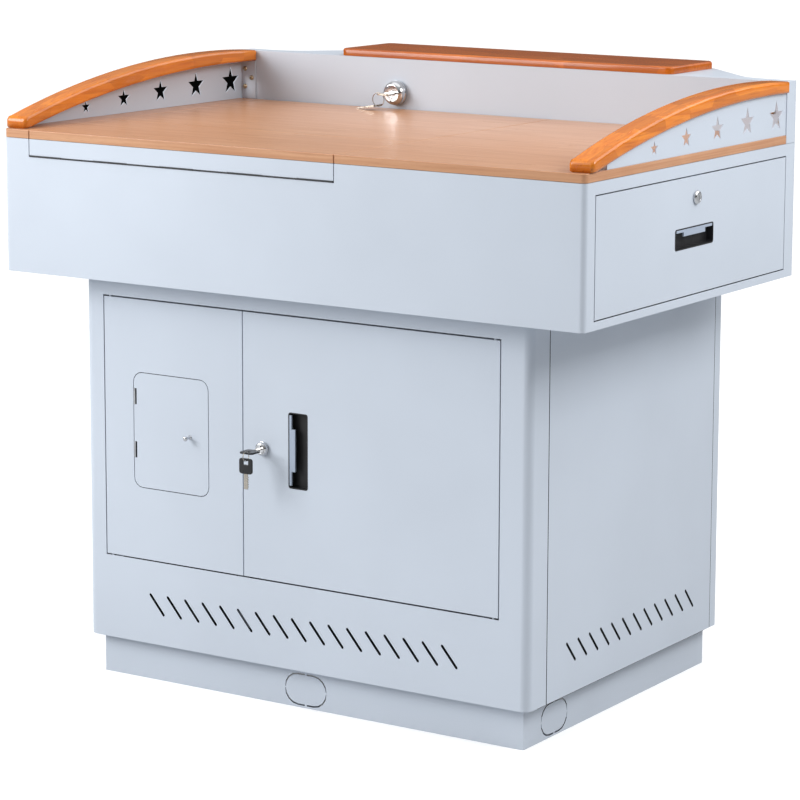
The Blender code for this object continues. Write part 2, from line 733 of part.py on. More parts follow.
def build_left_door():
    body("left_door", (*LEFT_PIN, DOOR_Z0), "root")
    x0, x1 = LEFT_DOOR
    hatch_x1 = HATCH_X0 + HATCH_W
    hatch_z1 = HATCH_Z0 + HATCH_H
    hole = rounded(
        HATCH_X0 - HATCH_GAP,
        HATCH_Z0 - HATCH_GAP,
        hatch_x1 + HATCH_GAP,
        hatch_z1 + HATCH_GAP,
        HATCH_R + HATCH_GAP,
    )
    pan = cut(door_pan(x0, x1), prism(hole, "y", CAB_FRONT - THROUGH, CAB_FRONT + THROUGH / 2))
    piece("left_door", with_pins(pan, *LEFT_PIN), STEEL, "left_door")

    # Hinge strip behind the door's skin, with a barrel at each notch of the hatch.
    axis_x, axis_y = HATCH_AXIS
    leaf_y = CAB_FRONT + SHEET + GAP
    leaf_back = leaf_y + HATCH_LEAF_T
    rises = [HATCH_Z0 + rise for rise in HATCH_HINGE_RISES]
    half = HATCH_BARREL_H / 2
    near = HATCH_X0 - HATCH_LEAF_IN
    strip = block((HATCH_X0 - HATCH_LEAF_OUT, leaf_y, rises[1] - half), (near, leaf_back, rises[0] + half))
    for z in rises:
        low = z - half + GAP
        high = z + half - GAP
        tab = block((near - 0.001, leaf_y, low), (axis_x, leaf_back, high))
        web = block((HATCH_X0 - HATCH_WEB_OUT, axis_y, low), (axis_x, leaf_back, high))
        strip = union(strip, tab, web, rod((axis_x, axis_y, low), (axis_x, axis_y, high), HATCH_BARREL_R))
        bore = rod((axis_x, axis_y, z - half - GAP), (axis_x, axis_y, z + half + GAP), HATCH_PIN_R + PIN_PLAY)
        strip = cut(strip, bore)
    piece("hatch_hinge", strip, ZINC, "left_door")

    body("hatch", (*HATCH_AXIS, HATCH_Z0), "left_door")
    plate = prism(
        rounded(HATCH_X0, HATCH_Z0, hatch_x1, hatch_z1, HATCH_R), "y", CAB_FRONT, CAB_FRONT + SHEET
    )
    knob_x = HATCH_X0 + KNOB_FROM_LEFT
    knob_z = HATCH_Z0 + KNOB_RISE
    for z in rises:
        notch = block(
            (HATCH_X0 - THROUGH, CAB_FRONT - THROUGH, z - half),
            (HATCH_X0 + HATCH_NOTCH_W, CAB_FRONT + THROUGH, z + half),
        )
        plate = cut(plate, notch)
        end = half + HATCH_PIN_TAIL
        plate = union(plate, rod((axis_x, axis_y, z - end), (axis_x, axis_y, z + end), HATCH_PIN_R))
    shank_r = KNOB_SHANK_R
    hole_ends = [(knob_x, CAB_FRONT + y, knob_z) for y in (-THROUGH, THROUGH)]
    shank_hole = rod(*hole_ends, shank_r + GAP)
    piece("hatch_door", cut(plate, shank_hole), STEEL, "hatch")
    nut = SHEET + GAP
    profile = [
        (0, -0.015),
        (0.0028, -0.0147),
        (0.0042, -0.0128),
        (0.0042, -0.0110),
        (0.0024, -0.0085),
        (0.0024, -0.0020),
        (0.0038, -GAP),
        (shank_r, -GAP),
        (shank_r, nut),
        (0.0038, nut),
        (0.0038, nut + 0.0025),
        (0, nut + 0.0025),
    ]
    piece("hatch_knob", turned(profile, (knob_x, CAB_FRONT, knob_z), (0, 1, 0), 16), CHROME, "hatch")


def pull_outline(length, width):
    """The cup's mouth: long side first."""
    return rounded(-length / 2, -width / 2, length / 2, width / 2, 0.004, 3)


def pull_cup(length, width):
    """A cup with its mouth at height 0 and its floor below, long side along X."""
    depth = PULL_DEPTH
    outer = prism(pull_outline(length, width), "z", -depth, GAP)
    well = pull_outline(length - 2 * PULL_WALL, width - 2 * PULL_WALL)
    return cut(outer, prism(well, "z", -depth + PULL_WALL, THROUGH))


def pull_lip(length, width):
    """The lip along one long edge of the mouth, with a wide tongue in its middle."""
    edge = width / 2 - PULL_WALL - GAP
    half = length / 2 - PULL_WALL - 0.003
    bar = 0.0042
    tongue = 0.0110
    tongue_half = length * 0.28
    outline = [
        (-half, edge - bar),
        (-tongue_half, edge - bar),
        (-tongue_half, edge - tongue),
        (tongue_half, edge - tongue),
        (tongue_half, edge - bar),
        (half, edge - bar),
        (half, edge),
        (-half, edge),
    ]
    return prism(outline, "z", -PULL_LIP_T, GAP)


def lock_body(face_r, out, barrel_r, barrel_end, place, direction):
    """A lock's housing, bored for its plug; the direction points out of the panel."""
    bore = PLUG_R + PIN_PLAY
    profile = [
        (bore, -barrel_end),
        (barrel_r, -barrel_end),
        (barrel_r, GAP),
        (face_r, GAP),
        (face_r, out * 0.45),
        (face_r * 0.88, out * 0.85),
        (face_r * 0.72, out),
        (bore, out),
    ]
    return turned(profile, place, direction, 24)


def lock_plug(out, cam_at, cam_length, place, direction, cam_direction):
    """The plug with its cam at the inner end."""
    place = Vector(place)
    outward = Vector(direction)
    along = Vector(cam_direction)
    plug = rod(place + outward * (out - GAP), place - outward * (cam_at + CAM_T), PLUG_R, 16)
    across = outward.cross(along)
    near = place - outward * cam_at - along * CAM_W / 2 - across * CAM_W / 2
    far = place - outward * (cam_at + CAM_T) + along * cam_length + across * CAM_W / 2
    low = [min(a, b) for a, b in zip(near, far)]
    high = [max(a, b) for a, b in zip(near, far)]
    return union(plug, block(low, high))


def key_shape(slot_across, slot_along, rim, blade):
    """A key lying in the XY plane: its head's end at Y = 0, its blade towards +Y."""
    half = KEY_HEAD / 2
    outline = rounded(-half, 0, half, KEY_HEAD, 0.004, 3)
    head = prism(outline, "z", -KEY_T / 2, KEY_T / 2)
    slot = block((-slot_across / 2, rim, -THROUGH), (slot_across / 2, rim + slot_along, THROUGH))
    shaft = block(
        (-KEY_BLADE_W / 2, KEY_HEAD - KEY_ROOT, -KEY_BLADE_T / 2),
        (KEY_BLADE_W / 2, KEY_HEAD + blade, KEY_BLADE_T / 2),
    )
    return union(cut(head, slot), shaft)


def moved(bm, matrix):
    bmesh.ops.transform(bm, matrix=matrix, verts=bm.verts)
    return bm


def build_right_door():
    body("right_door", (*RIGHT_PIN, DOOR_Z0), "root")
    x0, x1 = RIGHT_DOOR
    pull_x = x0 + DOOR_PULL_FROM_LEFT + DOOR_PULL_W / 2
    pull_z = DOOR_Z0 + DOOR_PULL_RISE + DOOR_PULL_H / 2
    upright = Matrix.Translation((pull_x, CAB_FRONT, pull_z)) @ Matrix(
        ((0, -1, 0, 0), (0, 0, -1, 0), (1, 0, 0, 0), (0, 0, 0, 1))
    )
    mouth = pull_outline(DOOR_PULL_H + 2 * GAP, DOOR_PULL_W + 2 * GAP)
    pull_hole = moved(prism(mouth, "z", -THROUGH / 2, THROUGH), upright)
    lock_at = (DOOR_LOCK[0], CAB_FRONT, DOOR_LOCK[1])
    lock_hole = rod(
        (lock_at[0], CAB_FRONT - THROUGH, lock_at[2]),
        (lock_at[0], CAB_FRONT + THROUGH / 2, lock_at[2]),
        SMALL_BARREL_R + GAP,
        24,
    )
    pan = cut(door_pan(x0, x1), pull_hole, lock_hole)
    piece("right_door", with_pins(pan, *RIGHT_PIN), STEEL, "right_door")
    piece("door_pull_cup", moved(pull_cup(DOOR_PULL_H, DOOR_PULL_W), upright), BLACK, "right_door")
    piece("door_pull_lip", moved(pull_lip(DOOR_PULL_H, DOOR_PULL_W), upright), GREY_LIP, "right_door")
    barrel_end = DOOR_T + 0.001
    housing = lock_body(DOOR_LOCK_R, DOOR_LOCK_OUT, SMALL_BARREL_R, barrel_end, lock_at, (0, -1, 0))
    piece("door_lock_body", housing, CHROME, "right_door")

    body("door_lock", lock_at, "right_door")
    cam_at = STRIKE_Y - CAB_FRONT + SHEET + 0.0025
    plug = lock_plug(DOOR_LOCK_OUT, cam_at, DOOR_CAM, lock_at, (0, -1, 0), (0, 0, -1))
    piece("door_lock_plug", plug, CHROME, "door_lock")

    # The key lies flat; its ring hangs in the YZ plane through the slot and round the rim.
    slot_along = 0.0066
    ring_r = 0.008
    ring_drop = 0.0052
    key_out = DOOR_LOCK_OUT + 0.039
    key_base = Matrix.Translation((lock_at[0], CAB_FRONT - key_out, lock_at[2]))
    blade = key_out - DOOR_LOCK_OUT - KEY_HEAD - GAP
    key = moved(key_shape(KEY_SLOT_W, slot_along, KEY_RIM, blade), key_base)
    piece("door_key", key, BLACK, "door_lock")
    centre = Vector((lock_at[0], CAB_FRONT - key_out + KEY_RIM / 2, lock_at[2] - ring_drop))
    body("door_key_ring", centre, "door_lock")
    piece("door_key_ring", ring(centre, ring_r, WIRE_R, (1, 0, 0)), BRASSY, "door_key_ring")

    # The spare key hangs face on, the ring's lowest wire in its slot.
    wire_low = Vector((centre.x, centre.y, centre.z - ring_r))
    body("door_spare_key", wire_low, "door_key_ring")
    top = wire_low.z + WIRE_R + 2 * GAP + KEY_RIM
    hanging = Matrix.Translation((centre.x, centre.y, top)) @ Matrix.Rotation(-math.pi / 2, 4, "X")
    spare = moved(key_shape(KEY_SLOT_W, slot_along, KEY_RIM, KEY_BLADE), hanging)
    piece("door_spare_key", spare, BLACK, "door_spare_key")


# ---- upper box ----


def build_box():
    path = [(-SIDE, BOX_BACK)]
    path += arc(-SIDE + BOX_R, FRONT + BOX_R, BOX_R, 180, 270, BOX_STEPS)
    path += arc(SIDE - BOX_R, FRONT + BOX_R, BOX_R, 270, 360, BOX_STEPS)
    path += [(SIDE, BOX_BACK)]
    shell = prism(folded(path), "z", Z_DECK, UNDER)
    notch = block(
        (FLAP_X0 - BOARD_GAP, FRONT - THROUGH, HINGE_Z - HINGE_DROP),
        (FLAP_X1 + BOARD_GAP, FRONT + THROUGH / 4, UNDER + THROUGH),
    )
    drawer_hole = block(
        (SIDE - THROUGH / 2, DRAWER_Y0 - REVEAL, DRAWER_Z0 - REVEAL),
        (SIDE + THROUGH / 2, DRAWER_Y1 + REVEAL, DRAWER_Z1 + REVEAL),
    )
    # Ledge over the drawer that its lock's cam turns up behind.
    ledge_z = DRAWER_Z1 + REVEAL + GAP
    cam_face = SIDE - DRAWER_FRONT_T - DRAWER_BARREL_BACK - CAM_SET
    ledge = block(
        (cam_face + CAM_CLEAR, DRAWER_LOCK[0] - LEDGE_HALF, ledge_z),
        (SIDE - SHEET / 2, DRAWER_LOCK[0] + LEDGE_HALF, ledge_z + SHEET),
    )
    piece("box_shell", union(cut(shell, notch, drawer_hole), ledge), STEEL, "root")

    x = SIDE - SHEET - GAP
    y0 = FRONT + SHEET + GAP
    outline = arc(-x + BOX_R, y0 + BOX_R, BOX_R, 180, 270, 3)
    outline += arc(x - BOX_R, y0 + BOX_R, BOX_R, 270, 360, 3)
    inner = beside(bay_path(), SHEET + GAP)
    outline += [(x, inner[0][1])] + inner[1:-1] + [(-x, inner[-1][1])]
    deck = prism(outline, "z", Z_DECK, Z_DECK + SHEET)
    cable_hole = block(
        (-0.090, CAB_BACK - 0.160, Z_DECK - THROUGH), (0.110, CAB_BACK - 0.060, Z_DECK + THROUGH)
    )
    piece("box_deck", cut(deck, cable_hole), STEEL, "root")

    bay_top = Z_WALL - SHEET - GAP
    piece("rear_bay_shell", prism(folded(bay_path()), "z", Z_DECK, bay_top), STEEL, "root")

    wall = block((-SIDE, WALL, Z_BOARD + GAP), (SIDE, WALL + SHEET, Z_WALL))
    cover = prism([(-SIDE, WALL), (SIDE, WALL)] + bay_path(), "z", Z_WALL - SHEET, Z_WALL)
    hood = union(wall, cover)
    for sign in (-1, 1):
        xs = sorted((sign * SIDE, sign * (SIDE - SHEET)))
        hood = union(hood, block((xs[0], WALL, Z_BOARD + GAP), (xs[1], BOX_BACK, Z_WALL)))
    holes = [
        rod(
            (REAR_LOCK[0], WALL - THROUGH / 4, REAR_LOCK[1]),
            (REAR_LOCK[0], WALL + THROUGH / 4, REAR_LOCK[1]),
            REAR_BARREL_R + GAP,
            24,
        )
    ]
    for sign in (-1, 1):
        holes += bolt_holes(sign, WALL - THROUGH / 4, WALL + THROUGH / 4)
    piece("rear_hood", cut(hood, together(holes)), STEEL, "root")

    outline = rounded(-CAP_HALF_W, WALL + 0.003, CAP_HALF_W, BACK - 0.006, 0.012)
    cap = prism(outline, "z", Z_WALL + GAP, Z_WALL + CAP_T)
    top_edges = [e for e in cap.edges if all(v.co.z > Z_WALL + CAP_T - GAP for v in e.verts)]
    cap = eased(cap, CAP_EASE, 2, top_edges)
    piece("cap_board", cap, VARNISHED, "root")

    divider = block(
        (DIVIDER_X, FRONT + SHEET + GAP, Z_DECK + SHEET + GAP), (DIVIDER_X + SHEET, BOX_BACK - GAP, UNDER)
    )
    cable_hole = block(
        (DIVIDER_X - THROUGH, BOX_BACK - 0.120, Z_DECK + 0.040),
        (DIVIDER_X + THROUGH, BOX_BACK - 0.050, Z_DECK + 0.090),
    )
    piece("bay_divider", cut(divider, cable_hole), STEEL, "root")

    rail_h = 0.020
    path = [
        (FLAP_BACK + 0.010, UNDER - rail_h),
        (FLAP_BACK + 0.010, UNDER),
        (FLAP_BACK - 0.008, UNDER),
        (FLAP_BACK - 0.008, UNDER - rail_h),
    ]
    piece("table_cross_rail", prism(folded(path), "x", -SIDE + SHEET + GAP, DIVIDER_X - GAP), STEEL, "root")


def build_table_boards():
    back = WALL - GAP
    x = FLAP_X1 + BOARD_GAP
    corner = arc(SIDE - BOX_R, FRONT + BOX_R, BOX_R, 270, 360, BOX_STEPS)
    outline = [(x, FRONT)] + corner + [(SIDE, back), (x, back)]
    piece("tabletop_right", prism(outline, "z", Z_BOARD, Z_TABLE), BEECH, "root")
    x = FLAP_X0 - BOARD_GAP
    corner = arc(-SIDE + BOX_R, FRONT + BOX_R, BOX_R, 180, 270, BOX_STEPS)
    outline = corner + [(x, FRONT), (x, back), (-SIDE, back)]
    piece("tabletop_left", prism(outline, "z", Z_BOARD, Z_TABLE), BEECH, "root")


# ---- keyboard flap ----


def knuckle_spans():
    """Knuckle ends along the hinge, in turn on the box and on the flap."""
    length = FLAP_W / KNUCKLES
    spans = []
    for i in range(KNUCKLES):
        x0 = FLAP_X0 + i * length
        spans.append((x0 + GAP, x0 + length - GAP))
    return spans[0::2], spans[1::2]


def build_flap():
    on_box, on_flap = knuckle_spans()
    leaf_y = FRONT + SHEET + GAP
    half_t = HINGE_WEB_T / 2
    web_y = HINGE_Y - KNUCKLE_R * 0.6
    leaf = block(
        (FLAP_X0 + HINGE_END_IN, leaf_y, HINGE_Z - HINGE_LEAF_H),
        (FLAP_X1 - HINGE_END_IN, leaf_y + HINGE_LEAF_T, HINGE_Z),
    )
    for x0, x1 in on_box:
        web = block((x0 + GAP, web_y, HINGE_Z - half_t), (x1 - GAP, leaf_y + half_t, HINGE_Z + half_t))
        leaf = union(leaf, web, rod((x0, HINGE_Y, HINGE_Z), (x1, HINGE_Y, HINGE_Z), KNUCKLE_R))
    pin_xs = (on_box[0][0] + GAP, on_box[-1][1] - GAP)
    pin = rod((pin_xs[0], HINGE_Y, HINGE_Z), (pin_xs[1], HINGE_Y, HINGE_Z), HINGE_PIN_R, 8)
    piece("flap_hinge_leaf", union(leaf, pin), BLACK, "root")

    body("flap", (LID_MID, HINGE_Y, HINGE_Z), "root")
    board = block((FLAP_X0, FRONT, Z_BOARD), (FLAP_X1, FLAP_BACK, Z_TABLE))
    piece("keyboard_flap", board, BEECH, "flap")
    strip = block((FLAP_X0, FRONT, STRIP_Z0), (FLAP_X1, FRONT + SHEET, UNDER))
    bore_r = HINGE_PIN_R + PIN_PLAY
    for x0, x1 in on_flap:
        foot = HINGE_Z + bore_r + TAB_CLEAR
        tab = block((x0 + GAP, HINGE_Y + TAB_CLEAR, foot), (x1 - GAP, FRONT + SHEET - GAP, STRIP_Z0 + SHEET))
        knuckle = rod((x0, HINGE_Y, HINGE_Z), (x1, HINGE_Y, HINGE_Z), KNUCKLE_R)
        strip = union(strip, tab, knuckle)
    bore = rod((FLAP_X0 - GAP, HINGE_Y, HINGE_Z), (FLAP_X1 + GAP, HINGE_Y, HINGE_Z), bore_r, 8)
    piece("flap_front_strip", cut(strip, bore), STEEL, "flap")
    x0 = FLAP_X0 + TRAY_IN
    x1 = FLAP_X1 - TRAY_IN
    y0 = FRONT + TRAY_IN
    y1 = FLAP_BACK - TRAY_BACK_IN
    tray = block((x0, y0, UNDER - TRAY_H), (x1, y1, UNDER))
    well = block((x0 + SHEET, y0 + SHEET, UNDER - TRAY_H - THROUGH), (x1 - SHEET, y1 - SHEET, UNDER - SHEET))
    piece("keyboard_tray", cut(tray, well), BLACK, "flap")


# ---- monitor lid ----


def lid_ear(x0, x1):
    return block((x0, LID_PIVOT_Y - EAR_HALF, LID_PIVOT_Z - EAR_DROP), (x1, LID_PIVOT_Y + EAR_HALF, UNDER))


def pivot_hole(x0, x1):
    return rod((x0, LID_PIVOT_Y, LID_PIVOT_Z), (x1, LID_PIVOT_Y, LID_PIVOT_Z), LID_PIN_R + PIN_PLAY, 16)


def build_lid():
    body("lid", (LID_MID, LID_PIVOT_Y, LID_PIVOT_Z), "root")
    board = block((FLAP_X0, LID_FRONT, Z_BOARD), (FLAP_X1, LID_BACK, Z_TABLE))
    piece("monitor_lid", board, BEECH, "lid")

    under = UNDER - BAR_T
    ear_t = BAR_T
    ear_in = EAR_IN
    bar = block(
        (FLAP_X0 + ear_in, LID_PIVOT_Y - BAR_HALF, under), (FLAP_X1 - ear_in, LID_PIVOT_Y + BAR_HALF, UNDER)
    )
    left_ear = lid_ear(FLAP_X0 + ear_in, FLAP_X0 + ear_in + ear_t)
    right_ear = lid_ear(FLAP_X1 - ear_in - ear_t, FLAP_X1 - ear_in)
    lid_mid_y = (LID_FRONT + LID_BACK) / 2
    half = MONITOR_PLATE / 2
    spine = block((LID_MID - 0.030, lid_mid_y, under), (LID_MID + 0.030, LID_PIVOT_Y, UNDER))
    plate_y = lid_mid_y - PLATE_AHEAD
    plate = block((LID_MID - half, plate_y - half, under), (LID_MID + half, plate_y + half, UNDER))
    hook_x1 = REAR_LOCK[0] - REAR_BARREL_R - 0.004
    hook_x0 = hook_x1 - 0.016
    hook_y = WALL + 0.013
    hook_top = REAR_LOCK[1] + CAM_W / 2 + 0.002
    arm = block((hook_x0, LID_PIVOT_Y, under), (hook_x1, hook_y + BAR_T, UNDER))
    post = block((hook_x0, hook_y, under), (hook_x1, hook_y + BAR_T, hook_top + BAR_T))
    tab = block((hook_x0, hook_y, hook_top), (hook_x1, hook_y + 0.017, hook_top + BAR_T))
    frame = union(bar, left_ear, right_ear, spine, plate, arm, post, tab)
    holes = []
    for sx in (-1, 1):
        for sy in (-1, 1):
            x = LID_MID + sx * PLATE_HOLE_HALF
            y = plate_y + sy * PLATE_HOLE_HALF
            holes.append(rod((x, y, under - THROUGH), (x, y, UNDER + THROUGH), PLATE_HOLE_R, 8))
    frame = cut(frame, together(holes), pivot_hole(FLAP_X0, FLAP_X0 + ear_in + ear_t + GAP))
    frame = cut(frame, pivot_hole(FLAP_X1 - ear_in - ear_t - GAP, FLAP_X1))
    piece("lid_frame", frame, ZINC, "lid")

    # Fixed brackets under the boards on each side carry the pivot pins.
    for name, edge, sign, reach in (
        ("lid_pivot_left", FLAP_X0, -1, LEFT_STRIP_W - 0.005),
        ("lid_pivot_right", FLAP_X1, 1, 0.027),
    ):
        away = BOARD_GAP + 0.0007
        foot_xs = sorted((edge + sign * away, edge + sign * reach))
        foot = block((foot_xs[0], LID_PIVOT_Y - BAR_HALF, under), (foot_xs[1], LID_PIVOT_Y + BAR_HALF, UNDER))
        ear_xs = sorted((edge + sign * away, edge + sign * (away + BAR_T)))
        ear = lid_ear(*ear_xs)
        pin_end = edge - sign * (ear_in + ear_t - GAP)
        pin_start = edge + sign * (away + BAR_T / 2)
        pin = rod((pin_start, LID_PIVOT_Y, LID_PIVOT_Z), (pin_end, LID_PIVOT_Y, LID_PIVOT_Z), LID_PIN_R, 16)
        piece(name, union(foot, ear, pin), ZINC, "root")


# ---- rear lock ----


def build_rear_lock():
    x, z = REAR_LOCK
    place = (x, WALL, z)
    outward = (0, -1, 0)
    barrel_end = SHEET + 0.0125
    housing = lock_body(REAR_LOCK_R, REAR_LOCK_OUT, REAR_BARREL_R, barrel_end, place, outward)
    piece("rear_lock_body", housing, CHROME, "root")

    body("rear_lock", place, "root")
    cam_at = barrel_end + CAM_SET
    piece(
        "rear_lock_plug",
        lock_plug(REAR_LOCK_OUT, cam_at, REAR_CAM, place, outward, (0, 0, -1)),
        CHROME,
        "rear_lock",
    )

    # The key lies flat; its ring hangs in the XZ plane round the left rim of its head.
    slot_across = 0.018
    side_rim = (KEY_HEAD - slot_across) / 2
    rim = 0.0022
    slot_along = 0.005
    key_out = REAR_LOCK_OUT + 0.0295
    key_base = Matrix.Translation((x, WALL - key_out, z))
    blade = key_out - REAR_LOCK_OUT - KEY_HEAD - GAP
    piece("rear_key", moved(key_shape(slot_across, slot_along, rim, blade), key_base), ZINC, "rear_lock")

    ring_r = 0.012
    ring_drop = 0.0092
    centre = Vector((x - KEY_HEAD / 2 + side_rim / 2, WALL - key_out + rim + slot_along / 2, z - ring_drop))
    body("rear_key_ring", (centre.x, centre.y, z), "rear_lock")
    wire_ring = ring(centre, ring_r, WIRE_R, (0, 1, 0))
    # The spare key leans from the ring's lowest wire down to the table.
    wire_top = centre.z - ring_r + WIRE_R
    head_z = wire_top + KEY_T / 2 - GAP
    blade_run = 0.020
    tip_z = Z_TABLE + KEY_BLADE_T / 2 + 2 * GAP
    drop = math.asin((head_z - tip_z) / (KEY_HEAD + blade_run))
    leaning = (
        Matrix.Translation((centre.x + KEY_RIM / 2, centre.y, head_z))
        @ Matrix.Rotation(-drop, 4, "Y")
        @ Matrix.Rotation(math.pi / 2, 4, "Z")
    )
    spare = moved(key_shape(KEY_SLOT_W, 0.0075, KEY_RIM, blade_run), leaning)
    piece("rear_key_ring", union(wire_ring, spare), BRASSY, "rear_key_ring")


# ---- armrests and cheeks ----


def on_arc(y, crown_at, crown_h, radius):
    return Z_TABLE + crown_h - radius + math.sqrt(radius**2 - (y - FRONT - crown_at) ** 2)


def arm_under(y):
    return on_arc(y, ARM_UNDER_AT, ARM_UNDER_H, ARM_UNDER_R)


def arm_top(y):
    return on_arc(y, ARM_TOP_AT, ARM_TOP_H, ARM_TOP_R)


def touches_table():
    """Where the armrest's underside comes down to the table."""
    drop = ARM_UNDER_H - GAP
    return FRONT + ARM_UNDER_AT - math.sqrt(2 * ARM_UNDER_R * drop - drop**2)


def between(start, end, steps):
    return [start + (end - start) * i / steps for i in range(steps + 1)]


def bolt_holes(sign, low, high):
    holes = []
    for inward, rise in BOLTS:
        x = sign * (SIDE - inward)
        holes.append(rod((x, low, Z_TABLE + rise), (x, high, Z_TABLE + rise), BOLT_R + GAP, 8))
    return holes


def build_armrests():
    table = Z_TABLE + GAP
    heel = touches_table()
    back = WALL - GAP
    nose = heel - ARM_NOSE
    nose_r = 0.010
    under_ys = between(heel, back, ARM_STEPS)
    outline = [(nose, table)]
    outline += [(y, max(arm_under(y), table)) for y in under_ys]
    outline += [(y, arm_top(y)) for y in between(back, nose + nose_r, ARM_STEPS + 4)]
    outline += arc(nose + nose_r, arm_top(nose + nose_r) - nose_r, nose_r, 100, 180, 5)

    cheek_x1 = SIDE - CHEEK_IN
    cheek_x0 = cheek_x1 - SHEET
    cheek_outline = [(under_ys[1], table), (back, table)]
    cheek_outline += [(y, arm_under(y) - GAP) for y in reversed(under_ys[1:])]
    flange_top = arm_under(back) - 2 * GAP

    for side_name, sign in (("right", 1), ("left", -1)):
        arm = prism(outline, "x", SIDE + ARM_OUT - ARM_W, SIDE + ARM_OUT)
        edge_of = (SIDE + ARM_OUT - ARM_W, SIDE + ARM_OUT)
        edges = [e for e in arm.edges if any(all(abs(v.co.x - x) < GAP for v in e.verts) for x in edge_of)]
        arm = eased(arm, ARM_EASE, 2, edges)

        cheek = prism(cheek_outline, "x", cheek_x0, cheek_x1)
        flange = block(
            (cheek_x1 - CHEEK_FLANGE, back - SHEET, table), (cheek_x1, back, flange_top)
        )
        stars = []
        for i, radius in enumerate(STAR_RADII):
            y = WALL - STAR_FIRST - i * STAR_PITCH
            z = table + (arm_under(y) - table) * 0.48
            stars.append(prism(star(y, z, radius), "x", cheek_x0 - THROUGH / 2, cheek_x1 + THROUGH / 2))
        bolts = together(bolt_holes(1, back - THROUGH / 4, back + THROUGH / 4))
        cheek = cut(union(cheek, flange), together(stars), bolts)

        strap_y = WALL + SHEET + GAP
        strap = block(
            (SIDE - STRAP_IN, strap_y, Z_TABLE + STRAP_RISE),
            (SIDE - STRAP_OUT, strap_y + BAR_T, Z_TABLE + STRAP_RISE + STRAP_H),
        )
        head_y = back - SHEET - GAP
        for inward, rise in BOLTS:
            x = SIDE - inward
            z = Z_TABLE + rise
            shank = rod((x, head_y - BOLT_HEAD_T / 2, z), (x, strap_y + BAR_T / 2, z), BOLT_R, 8)
            head = rod((x, head_y - BOLT_HEAD_T, z), (x, head_y, z), BOLT_HEAD_R, 12)
            strap = union(strap, shank, head)
        if sign < 0:
            arm = mirrored(arm)
            cheek = mirrored(cheek)
            strap = mirrored(strap)
        piece("armrest_" + side_name, arm, VARNISHED, "root")
        piece("cheek_" + side_name, cheek, STEEL, "root")
        piece("cheek_bolts_" + side_name, strap, ZINC, "root")


# ---- drawer ----


def slide_profile(web, reach, half_height, mid_z):
    """A channel's cross-section in (y, z); its web at one end, its flanges reaching from there."""
    low = mid_z - half_height
    high = mid_z + half_height
    path = [(reach, low), (web, low), (web, high), (reach, high)]
    if reach > web:
        path = path[::-1]
    return folded(path, SLIDE_T)


